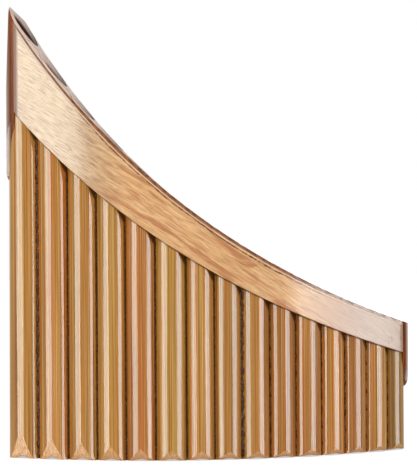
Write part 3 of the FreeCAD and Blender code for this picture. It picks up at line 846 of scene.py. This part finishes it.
# %% [markdown]
# ## Node groups
#
# Four effects come back in several finishes. Fibres are noise drawn out along one axis. Specks are
# small dark or light dots. A stain is a soft edge made uneven by noise. The blowing edge is the
# colour of the front bevel, which runs on over canes, glue and bands. Each is built once as a group
# with named inputs and outputs, and each finish uses it with its own values.

# %% An empty group
def new_group(name, inputs, **outputs):
    """A group, its tree, and its ends. An input without a default is a vector, the rest are numbers."""
    group = bpy.data.node_groups.new(name, "ShaderNodeTree")
    for label, default in inputs.items():
        kind = "NodeSocketVector" if default is None else "NodeSocketFloat"
        socket = group.interface.new_socket(label, in_out="INPUT", socket_type=kind)
        if default is not None:
            socket.default_value = default
    for label, kind in outputs.items():
        group.interface.new_socket(label, in_out="OUTPUT", socket_type=kind)
    tree = Tree(group)
    return group, tree, tree.node("NodeGroupInput").outputs, tree.node("NodeGroupOutput").inputs


# %% Fibres
fibres, t, given, result = new_group(
    "Fibres", {"Vector": None, "Across": 900.0, "Along": 8.0, "Offset": 0.0},
    Fine="NodeSocketFloat", Broad="NodeSocketFloat",
)
moved = t.vector("ADD", given["Vector"], t.join(given["Offset"], 0.0, given["Offset"]))
drawn_out = t.vector("MULTIPLY", moved, t.join(given["Across"], given["Across"], given["Along"]))
t.put(result["Fine"], t.noise(drawn_out, 1.0, detail=4.0, roughness=0.6))
t.put(result["Broad"], t.noise(drawn_out, 0.25, detail=2.0, distortion=0.3))
print("nodes in the fibres:", len(fibres.nodes))

# %% Specks
SPECK_EDGE = 0.08

specks, t, given, result = new_group(
    "Specks", {"Vector": None, "Scale": 2000.0, "Size": 0.3}, Mask="NodeSocketFloat",
)
cells = t.node("ShaderNodeTexVoronoi", feature="F1")
t.put(cells.inputs["Vector"], given["Vector"])
t.put(cells.inputs["Scale"], given["Scale"])
within = t.minus(given["Size"], cells.outputs["Distance"])
t.put(result["Mask"], t.remap(within, -SPECK_EDGE, SPECK_EDGE))
print("nodes in the specks:", len(specks.nodes))

# %% Stain
STAIN_RIPPLE = 2.2

stain, t, given, result = new_group(
    "Stain", {"Vector": None, "Distance": 0.0, "Reach": 0.001, "Softness": 0.0003, "Scale": 900.0},
    Mask="NodeSocketFloat",
)
either_way = t.minus(t.noise(given["Vector"], given["Scale"], detail=4.0, roughness=0.65), 0.5)
uneven = t.times(either_way, given["Reach"])
shifted = t.plus(given["Distance"], t.times(uneven, STAIN_RIPPLE))
near = t.minus(given["Reach"], shifted)
t.put(result["Mask"], t.math("ADD", t.math("DIVIDE", near, given["Softness"]), 0.5, clamp=True))
print("nodes in the stain:", len(stain.nodes))

# %% [markdown]
# The front bevel is brown along most of the row and worn pale towards the short end. Beside the
# mouths of the longest pipes it has a pale lip along the ridge, a painted highlight, which narrows to
# nothing along the row. The group takes the distance past the ridge for that lip.

# %% Blowing edge
BEVEL_SHADOW = srgb(116, 66, 38)
BEVEL_BROWN = srgb(168, 106, 66)
WORN_GREY = srgb(186, 162, 152)
WORN_PALE = srgb(228, 212, 204)
RIDGE_PAINTED_HIGHLIGHT = srgb(234, 208, 192)
WORN_FROM, WORN_TO = 0.035, 0.08
LIP_FROM, LIP_TO = -0.118, -0.05
LIP_WIDTHS = (0.0024, 0.0001)
LIP_EDGE = 0.0002

blowing_edge, t, given, result = new_group(
    "Blowing edge", {"Vector": None, "Ridge": 0.01}, Color="NodeSocketColor",
)
along_x = t.split(given["Vector"])["X"]
patches = t.noise(given["Vector"], 300.0, detail=3.0, roughness=0.65)
brown = t.mix(t.remap(patches, 0.35, 0.65), BEVEL_SHADOW, BEVEL_BROWN)
worn = t.mix(t.remap(patches, 0.4, 0.6), WORN_GREY, WORN_PALE)
bevel = t.mix(t.remap(along_x, WORN_FROM, WORN_TO), brown, worn)
# painted highlight: a pale lip along the ridge, narrowing along the row
lip_width = t.remap(along_x, LIP_FROM, LIP_TO, *LIP_WIDTHS)
on_lip = t.remap(t.minus(lip_width, given["Ridge"]), -LIP_EDGE, LIP_EDGE)
t.put(result["Color"], t.mix(on_lip, bevel, RIDGE_PAINTED_HIGHLIGHT))
print("node groups:", [group.name for group in bpy.data.node_groups])

# %% [markdown]
# ## A new finish
#
# Every finish here is one Principled shader. The lacquer is its coat, a smooth layer over the wood,
# and the coat alone gives the highlights: the wood below has no gloss of its own. Values that are
# the same all over are set on the shader itself.

# %% A new finish
COAT_IOR = 1.38


def new_finish(name, roughness, coat, coat_roughness=0.04):
    """A material with one Principled shader, its steady values set on the shader itself."""
    material = bpy.data.materials.new(name)
    material.use_nodes = True
    t = Tree(material.node_tree)
    shader = material.node_tree.nodes["Principled BSDF"]
    shader.inputs["Roughness"].default_value = roughness
    shader.inputs["Specular IOR Level"].default_value = 0.0
    shader.inputs["Coat Weight"].default_value = coat
    shader.inputs["Coat Roughness"].default_value = coat_roughness
    shader.inputs["Coat IOR"].default_value = COAT_IOR
    return material, t, shader


def object_place(t):
    """Where a point is on the piece, in metres."""
    return t.node("ShaderNodeTexCoord").outputs["Object"]


def put_on(finish, pieces):
    """Gives each piece the finish, in place of any other."""
    for piece in pieces:
        piece.data.materials.clear()
        piece.data.materials.append(finish)
    print(finish.name, "on", len(pieces), "pieces")


# %% [markdown]
# ## Lacquered bamboo
#
# Under the lacquer each cane has its own tone, from olive gold to orange brown, with fine dark
# fibres and pale threads along it. Some canes are darker all over.

# %% The colour of the canes
OLIVE_GOLD = srgb(190, 146, 58)
ORANGE_BROWN = srgb(204, 120, 48)
DARK_FIBRE = srgb(136, 88, 26)
DARK_THREAD = srgb(132, 82, 26)
PALE_THREAD = srgb(238, 196, 126)
SMOKED = srgb(88, 56, 24)
TONE_DRIFT = 2.4

bamboo, t, shader = new_finish("lacquered bamboo", 0.5, 1.0)
place = object_place(t)
tone = t.attribute("tone")
fine, broad = t.group(fibres, Vector=place, Across=1500.0, Along=7.0, Offset=tone)
threads = t.group(fibres, Vector=place, Across=3200.0, Along=5.0, Offset=tone)["Fine"]
tone_here = t.math("ADD", tone, t.times(t.minus(broad, 0.5), TONE_DRIFT), clamp=True)
cane_colour = t.mix(tone_here, OLIVE_GOLD, ORANGE_BROWN)
cane_colour = t.mix(t.remap(fine, 0.38, 0.54, 0.65, 0.0), cane_colour, DARK_FIBRE)
cane_colour = t.mix(t.remap(threads, 0.36, 0.5, 0.7, 0.0), cane_colour, DARK_THREAD)
cane_colour = t.mix(t.remap(threads, 0.52, 0.64, 0.0, 0.6), cane_colour, PALE_THREAD)
cane_colour = t.mix(t.attribute("shade"), cane_colour, SMOKED)
print("nodes in the bamboo so far:", len(bamboo.node_tree.nodes))

# %% [markdown]
# Glue has soaked into the cane beside each groove, and painted shade darkens the groove sides as well,
# less on each cane's left flank, which faces the left lamp. A thin dark line under the band is partly
# glue and partly painted shade, and the corner between band and groove on each cane's right holds a
# painted shadow of the band. The outer sides of the two end canes are stained brown beside the bands,
# like the cheeks that sit on them.

# %% Stains and painted shade on the canes
GLUE_AND_SHADE_BROWN = srgb(62, 30, 14)
GLUE_AND_SHADE_SHARE = 0.85
STAINED_DARK = srgb(112, 56, 24)
STAINED_LIGHT = srgb(160, 100, 54)

# glue soaked beside the grooves, with painted shade in the groove sides
glue_and_painted_shade = t.group(stain, Vector=place, Distance=t.attribute("seam"),
                 Reach=0.0006, Softness=0.0008, Scale=700.0)["Mask"]
# a thin line under the band: partly glue, partly painted shade
under = t.group(stain, Vector=place, Distance=t.attribute("below_band"),
                Reach=0.0007, Softness=0.0007, Scale=500.0)["Mask"]
# painted shadow of the band in the corner beside each groove, on each cane's right
corners = t.remap(t.attribute("corner"), 0.0037, 0.0054, 1.0, 0.0)
glue_and_painted_shade = t.higher(glue_and_painted_shade, t.higher(under, corners))
cane_colour = t.mix(t.times(glue_and_painted_shade, GLUE_AND_SHADE_SHARE), cane_colour, GLUE_AND_SHADE_BROWN)
beside = t.remap(t.attribute("beside_band"), -0.0005, 0.0015)
cane_colour = t.mix(beside, cane_colour, t.mix(fine, STAINED_DARK, STAINED_LIGHT))
print("nodes in the bamboo so far:", len(bamboo.node_tree.nodes))

# %% [markdown]
# The ground foot shows pale end grain with pores, clearest on the thickest canes. The cut through
# the mouths is paler still, and the bore is pale at its rim, with painted shade that darkens it deeper
# inside.

# %% Foot, mouth and bore
END_GRAIN_DARK = srgb(190, 126, 76)
END_GRAIN_LIGHT = srgb(242, 196, 146)
PORE_PALE = srgb(250, 222, 186)
MOUTH_PALE = srgb(222, 200, 186)
BORE_RIM = srgb(226, 206, 194)
BORE_PAINTED_SHADE = srgb(70, 48, 34)
BORE_RIM_DEPTH, BORE_SHADE_DEPTH = 0.0026, 0.0050

pores = t.group(specks, Vector=place, Scale=1300.0, Size=0.3)["Mask"]
cut_fibres = t.group(fibres, Vector=place, Across=2200.0, Along=120.0, Offset=0.5)["Fine"]
end_grain = t.mix(t.remap(cut_fibres, 0.3, 0.6), END_GRAIN_DARK, END_GRAIN_LIGHT)
end_grain = t.mix(t.times(pores, 0.5), end_grain, PORE_PALE)
end_grain = t.mix(t.remap(t.attribute("along"), 0.05, 0.25, 0.0, 0.4), end_grain, cane_colour)
cane_colour = t.mix(t.attribute("foot"), cane_colour, end_grain)
cane_colour = t.mix(t.attribute("mouth"), cane_colour, MOUTH_PALE)
edge = t.group(blowing_edge, Vector=place, Ridge=t.attribute("past_ridge"))["Color"]
cane_colour = t.mix(t.attribute("front_bevel"), cane_colour, edge)
# painted shade: the bore darkens from its pale rim with depth below the mouth
inside = t.mix(t.remap(t.attribute("depth"), BORE_RIM_DEPTH, BORE_SHADE_DEPTH), BORE_RIM, BORE_PAINTED_SHADE)
cane_colour = t.mix(t.attribute("bore"), cane_colour, inside)
t.put(shader.inputs["Base Color"], cane_colour)
print("nodes in the bamboo so far:", len(bamboo.node_tree.nodes))

# %% [markdown]
# The lacquer covers the outside. There is none in the bore or on the stained sides beside the
# bands, and only a little on cut wood and where glue and painted shade lie, which dims the highlights
# there.

# %% The lacquer on the canes
THIN_LACQUER = 0.8  # the share that is missing on cut wood, glue and painted shade

cut_wood = t.plus(t.attribute("foot"), t.attribute("mouth"))
bare_places = t.higher(t.attribute("bore"), beside)
matt = t.higher(bare_places, t.times(t.higher(glue_and_painted_shade, cut_wood), THIN_LACQUER))
t.put(shader.inputs["Coat Weight"], t.math("SUBTRACT", 1.0, matt, clamp=True))
t.put(shader.inputs["Normal"], t.bump(fine, 0.08, 0.0002))
put_on(bamboo, canes)

# %% [markdown]
# ## Glue
#
# Old hide glue is dark and grainy, with pale crumbs of dust in it. Where the bevel cuts it, it takes
# the colour of the blowing edge. It is nearly matt, so it keeps a weak and rough coat.

# %% Glue
GLUE_DARK = srgb(44, 22, 10)
GLUE_DUSTY = srgb(146, 100, 66)
CRUMB_PALE = srgb(206, 168, 130)

glue_finish, t, shader = new_finish("hide glue", 0.7, 0.15, 0.3)
place = object_place(t)
grit = t.noise(place, 1500.0, detail=4.0, roughness=0.7)
glue_colour = t.mix(t.remap(grit, 0.42, 0.72), GLUE_DARK, GLUE_DUSTY)
crumbs = t.group(specks, Vector=place, Scale=1100.0, Size=0.2)["Mask"]
glue_colour = t.mix(crumbs, glue_colour, CRUMB_PALE)
edge = t.group(blowing_edge, Vector=place, Ridge=t.attribute("past_ridge"))["Color"]
t.put(shader.inputs["Base Color"], t.mix(t.attribute("cut"), glue_colour, edge))
t.put(shader.inputs["Normal"], t.bump(grit, 0.6, 0.0004))
put_on(glue_finish, seams)

# %% [markdown]
# ## Band wood
#
# The bands are pale wood under a lacquer that is less smooth, so the lamps lie on it as wide soft
# veils. Its figure and grain are read from the board's own map, so that they bend with it. Along
# the row the wood changes: cream at the long end, honey brown in the middle, then a ruddy place,
# and worn grey at the short end. The cream and the grey are partly the wood and partly a painted
# reflection of the lamps' veils that lie on those ends.

# %% Figure of the band
HONEY_DARK = srgb(222, 168, 112)
HONEY_LIGHT = srgb(240, 194, 140)
FIGURE_BROWN = srgb(182, 108, 58)
FIGURE_STRETCH = (260.0, 1.0, 36.0)

band_wood, t, shader = new_finish("lacquered band wood", 0.5, 1.0, 0.17)
place = object_place(t)
along_x = t.split(place)["X"]
flat_map = t.split(t.node("ShaderNodeUVMap", uv_map="board").outputs[0])
with_grain = t.join(flat_map["Y"], 0.0, flat_map["X"])
fine, broad = t.group(fibres, Vector=with_grain, Across=2400.0, Along=110.0, Offset=0.3)
figure = t.drawn_noise(with_grain, FIGURE_STRETCH, detail=4.0, roughness=0.6, distortion=0.6)
wood = t.mix(t.remap(broad, 0.35, 0.65), HONEY_DARK, HONEY_LIGHT)
wood = t.mix(t.remap(figure, 0.46, 0.64, 0.0, 0.75), wood, FIGURE_BROWN)
print("nodes in the band wood so far:", len(band_wood.node_tree.nodes))

# %% Cream and grey ends with painted sheen, and a ruddy place
CREAM_AND_SHEEN = srgb(204, 182, 150)
CREAM_FROM, CREAM_TO = -0.045, -0.085
RUDDY = srgb(172, 118, 76)
RUDDY_MIDDLE, RUDDY_HALF = 0.071, 0.022
RUBBED_GREY_AND_SHEEN = srgb(176, 150, 134)
RUBBED_FROM, RUBBED_TO = 0.04, 0.088

# the cream at the long end is partly pale wood and partly a painted reflection of the left lamp
cream_and_sheen = t.remap(along_x, CREAM_FROM, CREAM_TO)
wood = t.mix(t.times(cream_and_sheen, 0.8), wood, CREAM_AND_SHEEN)
# the grey at the short end is partly worn wood and partly a painted reflection of the right lamp
wood = t.mix(t.remap(along_x, RUBBED_FROM, RUBBED_TO, 0.0, 0.85), wood, RUBBED_GREY_AND_SHEEN)
ruddy = t.remap(t.apart_from(along_x, RUDDY_MIDDLE), 0.0, RUDDY_HALF, 0.4, 0.0)
wood = t.mix(ruddy, wood, RUDDY)
print("nodes in the band wood so far:", len(band_wood.node_tree.nodes))

# %% [markdown]
# Fine grain lies all over the boards, strongest in the cream part. Short dark dashes, which are
# open pores filled with dirt, come in clumps. Near the short end the ring of a small knot shows.

# %% Grain, dashes and a knot
GRAIN_BROWN = srgb(150, 98, 60)
DASH_BROWN = srgb(86, 54, 36)
DASH_STRETCH = (1700.0, 1.0, 130.0)
CLUMP_STRETCH = (75.0, 1.0, 30.0)
KNOT_BROWN = srgb(112, 78, 60)
KNOT_MIDDLE = (0.1055, 0.0, 0.0396)
KNOT_STRETCH = (1.0, 0.0, 0.6)
KNOT_RADIUS = 0.0012

grain = t.times(t.remap(fine, 0.4, 0.54, 0.4, 0.0), t.plus(cream_and_sheen, 1.0))
wood = t.mix(grain, wood, GRAIN_BROWN)
dashes = t.drawn_noise(with_grain, DASH_STRETCH, detail=2.0)
clumps = t.drawn_noise(with_grain, CLUMP_STRETCH, detail=2.0)
dark = t.times(t.remap(dashes, 0.58, 0.68), t.plus(t.times(cream_and_sheen, 0.55), 0.3))
dark = t.times(dark, t.remap(clumps, 0.4, 0.6, 0.2, 1.0))
wood = t.mix(dark, wood, DASH_BROWN)
from_knot = t.vector("DISTANCE", t.vector("MULTIPLY", place, KNOT_STRETCH), KNOT_MIDDLE)
knot_ring = t.group(stain, Vector=place, Distance=t.apart_from(from_knot, KNOT_RADIUS),
                    Reach=0.0003, Softness=0.0005, Scale=900.0)["Mask"]
knot_ring = t.times(knot_ring, t.remap(t.noise(place, 420.0, detail=2.0), 0.42, 0.58, 0.0, 0.6))
wood = t.mix(knot_ring, wood, KNOT_BROWN)
print("nodes in the band wood so far:", len(band_wood.node_tree.nodes))

# %% [markdown]
# A dark line is scored just under the rim. It wanders a little, is broken in places and fades out
# towards both ends.

# %% The scored line
SCORE_BROWN = srgb(58, 30, 20)
SCORE_DEPTH = 0.0003
SCORE_WANDER = 0.0016
SCORE_MIDDLE = -0.008
SCORE_FADE_FROM, SCORE_FADE_TO = 0.06, 0.085

rim = t.attribute("rim")
wander = t.times(t.noise(place, 60.0, detail=2.0), SCORE_WANDER)
off_line = t.apart_from(rim, t.plus(wander, SCORE_DEPTH))
score = t.group(stain, Vector=place, Distance=off_line, Reach=0.0004, Softness=0.0004, Scale=1100.0)["Mask"]
broken = t.remap(t.noise(place, 420.0, roughness=0.6), 0.38, 0.55, 0.35, 1.0)
fade = t.remap(t.apart_from(along_x, SCORE_MIDDLE), SCORE_FADE_FROM, SCORE_FADE_TO, 1.0, 0.15)
wood = t.mix(t.times(score, t.times(broken, fade)), wood, SCORE_BROWN)
print("nodes in the band wood so far:", len(band_wood.node_tree.nodes))

# %% [markdown]
# The rim itself has a painted highlight along its arris, and a worn strip runs below it at the long
# end. On the bare top edge the board has the colour of the blowing edge, and the bevelled face at the
# long end has a painted reflection of the white room.

# %% The rim and the ends of the bands
RIM_PAINTED_HIGHLIGHT = srgb(240, 200, 160)
STRIP_BROWN = srgb(164, 134, 116)
STRIP_FROM, STRIP_TO = -0.075, -0.098
LONG_END_PAINTED_REFLECTION = srgb(164, 132, 114)

# painted highlight along the rim's arris
wood = t.mix(t.remap(rim, 0.0, 0.0008, 0.5, 0.0), wood, RIM_PAINTED_HIGHLIGHT)
at_long_end = t.remap(along_x, STRIP_TO, STRIP_FROM, 1.0, 0.0)
wood = t.mix(t.times(t.remap(rim, 0.0012, 0.0026, 0.8, 0.0), at_long_end), wood, STRIP_BROWN)
wood = t.mix(t.attribute("bare"), wood, t.group(blowing_edge, Vector=place)["Color"])
# painted reflection: the bevelled long end of each board is greyed as if it mirrored the white room
wood = t.mix(t.attribute("long_end"), wood, LONG_END_PAINTED_REFLECTION)
t.put(shader.inputs["Base Color"], wood)
t.put(shader.inputs["Normal"], t.bump(t.minus(fine, dashes), 0.12, 0.0002))
put_on(band_wood, bands)

# %% [markdown]
# ## Cheek wood
#
# The cheeks are a darker red brown, glossy only on their rounded outer sides, where a greyish painted
# reflection of the white room lies over the wood. They keep the CAD model's own meshes, so their finish
# finds those sides by the distance from the middle of the flute.

# %% Cheek wood
CHEEK_DARK = srgb(112, 52, 20)
CHEEK_LIGHT = srgb(152, 80, 32)
CHEEK_FIBRE = srgb(86, 42, 20)
CHEEK_PAINTED_REFLECTION = srgb(176, 146, 126)
ROUNDED_FROM, ROUNDED_TO = 0.1154, 0.1180

cheek_wood, t, shader = new_finish("lacquered cheek wood", 0.5, 1.0, 0.1)
place = object_place(t)
fine, broad = t.group(fibres, Vector=place, Across=1300.0, Along=30.0, Offset=0.7)
wood = t.mix(t.remap(broad, 0.35, 0.65), CHEEK_DARK, CHEEK_LIGHT)
wood = t.mix(t.remap(fine, 0.38, 0.6, 0.7, 0.0), wood, CHEEK_FIBRE)
from_middle = t.math("ABSOLUTE", t.split(place)["X"])
rounded = t.remap(from_middle, ROUNDED_FROM, ROUNDED_TO)
# painted reflection: the rounded outer sides are greyed as if they mirrored the white room
wood = t.mix(t.times(rounded, 0.7), wood, CHEEK_PAINTED_REFLECTION)
t.put(shader.inputs["Base Color"], wood)
t.put(shader.inputs["Coat Weight"], t.plus(t.times(rounded, 0.9), 0.1))
t.put(shader.inputs["Normal"], t.bump(fine, 0.12, 0.0002))
put_on(cheek_wood, [node for name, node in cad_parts.items() if name.endswith("cheek")])

# %% [markdown]
# ## Cork
#
# Cork is matt and grainy, with small dark pits. The corks also keep the CAD model's meshes.

# %% Natural cork
CORK_DARK = srgb(176, 132, 88)
CORK_LIGHT = srgb(208, 168, 120)
PIT_BROWN = srgb(96, 60, 34)

cork_finish, t, shader = new_finish("natural cork", 0.85, 0.0)
place = object_place(t)
pits = t.group(specks, Vector=place, Scale=700.0, Size=0.25)["Mask"]
grainy = t.noise(place, 900.0, roughness=0.6)
t.put(shader.inputs["Base Color"], t.mix(pits, t.mix(grainy, CORK_DARK, CORK_LIGHT), PIT_BROWN))
t.put(shader.inputs["Normal"], t.bump(t.minus(grainy, pits), 0.6, 0.0004))
put_on(cork_finish, [node for name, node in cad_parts.items() if name.startswith("cork")])

# %% [markdown]
# ## Floor and room
#
# The flute stands on a plain white floor in a white room. To the eye, to gloss and to glass both
# are full white, while as light they are weaker, so that the object is not washed out. Far from the
# lamps the floor needs more of that help to look white, and near the flute less, so that it keeps
# the shadow. The floor lets gloss through, because a reflection of it would cut the highlights
# short above the feet.

# %% White where it is seen
AMBIENT = 0.72


def seen_white(t):
    """1 for rays from the camera, off gloss or through glass, and 0 for light."""
    path = t.node("ShaderNodeLightPath")
    seen = t.plus(path.outputs["Is Camera Ray"], path.outputs["Is Glossy Ray"])
    return t.math("ADD", seen, path.outputs["Is Transmission Ray"], clamp=True)


world = bpy.data.worlds.new("studio")
bpy.context.scene.world = world
world.use_nodes = True
t = Tree(world.node_tree)
background = world.node_tree.nodes["Background"]
background.inputs["Color"].default_value = (1, 1, 1, 1)
t.put(background.inputs["Strength"], t.plus(t.times(seen_white(t), 1 - AMBIENT), AMBIENT))
print("room light:", AMBIENT)

# %% The floor
FLOOR_HALF = 3.0
FLOOR_GREY = 0.8
NEAR, FAR = 0.15, 0.7
NEAR_GLOW, FAR_GLOW = 0.52, 0.6


def make_floor():
    """A square round the feet, whose own light to the eye grows with the distance from them."""
    corners = [(x * FLOOR_HALF, y * FLOOR_HALF, 0) for x, y in ((-1, -1), (1, -1), (1, 1), (-1, 1))]
    mesh = bpy.data.meshes.new("floor")
    mesh.from_pydata(corners, [], [(0, 1, 2, 3)])
    floor = bpy.data.objects.new("floor", mesh)
    bpy.context.scene.collection.objects.link(floor)
    material = bpy.data.materials.new("white floor")
    material.use_nodes = True
    t = Tree(material.node_tree)
    shader = material.node_tree.nodes["Principled BSDF"]
    shader.inputs["Base Color"].default_value = (FLOOR_GREY, FLOOR_GREY, FLOOR_GREY, 1)
    shader.inputs["Roughness"].default_value = 0.9
    shader.inputs["Specular IOR Level"].default_value = 0.0
    shader.inputs["Emission Color"].default_value = (1, 1, 1, 1)
    from_feet = t.vector("DISTANCE", object_place(t), (0.0, 0.0, 0.0))
    glow = t.remap(from_feet, NEAR, FAR, NEAR_GLOW, FAR_GLOW)
    t.put(shader.inputs["Emission Strength"], t.times(seen_white(t), glow))
    mesh.materials.append(material)
    floor.visible_glossy = False
    return floor


floor = make_floor()
print("floor side in metres:", 2 * FLOOR_HALF)

# %% [markdown]
# ## Lamps
#
# Two tall soft boxes stand on each side in front of the flute. On a cylinder a tall lamp shows as a
# line: the further the cane is turned away, the further its line shifts, which is what draws the
# two bright lines down every cane. One lamp can't be both bright enough for the lines and gentle
# enough for the wood, so each box is a pair in one place: a narrow one that only gloss sees, and a
# wide one that lights the wood.

# %% The soft boxes
BOX_HEIGHT = 1.1
BOX_MIDDLE = 0.13
LEFT_PLACE = (-0.390, -0.281, BOX_MIDDLE)
RIGHT_PLACE = (0.302, -0.252, BOX_MIDDLE)
GLOSS_RADIANCE = 12.5
LEFT_RADIANCE = 2.8
RIGHT_RADIANCE = 2.0
WARM_WHITE = (0.97, 1.0, 0.93)
COOL_WHITE = (0.88, 0.96, 1.0)
PURE_WHITE = (1.0, 1.0, 1.0)


def soft_box(name, place, width, radiance, colour, for_gloss):
    """A tall area light that faces the flute. Its power is radiance * pi * area."""
    data = bpy.data.lights.new(name, "AREA")
    data.shape, data.size, data.size_y = "RECTANGLE", width, BOX_HEIGHT
    data.energy = radiance * math.pi * width * BOX_HEIGHT
    data.color = colour
    light = bpy.data.objects.new(name, data)
    light.location = place
    light.rotation_euler = (Vector((0, 0, BOX_MIDDLE)) - light.location).to_track_quat("-Z", "Y").to_euler()
    light.visible_camera = False
    light.visible_glossy = for_gloss
    light.visible_diffuse = not for_gloss
    bpy.context.scene.collection.objects.link(light)
    return light


lamps = [
    soft_box("left strip", LEFT_PLACE, 0.32, GLOSS_RADIANCE, WARM_WHITE, True),
    soft_box("right strip", RIGHT_PLACE, 0.25, GLOSS_RADIANCE, COOL_WHITE, True),
    soft_box("left soft box", LEFT_PLACE, 0.34, LEFT_RADIANCE, PURE_WHITE, False),
    soft_box("right soft box", RIGHT_PLACE, 0.30, RIGHT_RADIANCE, PURE_WHITE, False),
]
print("lamps:", [lamp.name for lamp in lamps])

# %% [markdown]
# ## The camera
#
# The picture was taken level with the middle of the flute, from three quarters of a metre away and
# a little to the left of the row's middle. A long lens keeps the pipes upright.

# %% The camera
CAMERA_PLACE = (-0.06204, -0.75824, 0.1298)
CAMERA_HEADING = math.radians(-4.554)
CAMERA_ROLL = math.radians(0.382)
CAMERA_LENS = 100.75
SENSOR_WIDTH = 36
CLIP_START = 0.01

camera_data = bpy.data.cameras.new("camera")
camera_data.lens = CAMERA_LENS
camera_data.sensor_width = SENSOR_WIDTH
camera_data.dof.use_dof = False
camera_data.clip_start = CLIP_START
camera = bpy.data.objects.new("camera", camera_data)
camera.location = CAMERA_PLACE
camera.rotation_euler = (math.pi / 2, CAMERA_ROLL, CAMERA_HEADING)
bpy.context.scene.collection.objects.link(camera)
bpy.context.scene.camera = camera
bpy.context.scene.view_settings.view_transform = "Standard"
print("lens in mm:", camera_data.lens)

# %% [markdown]
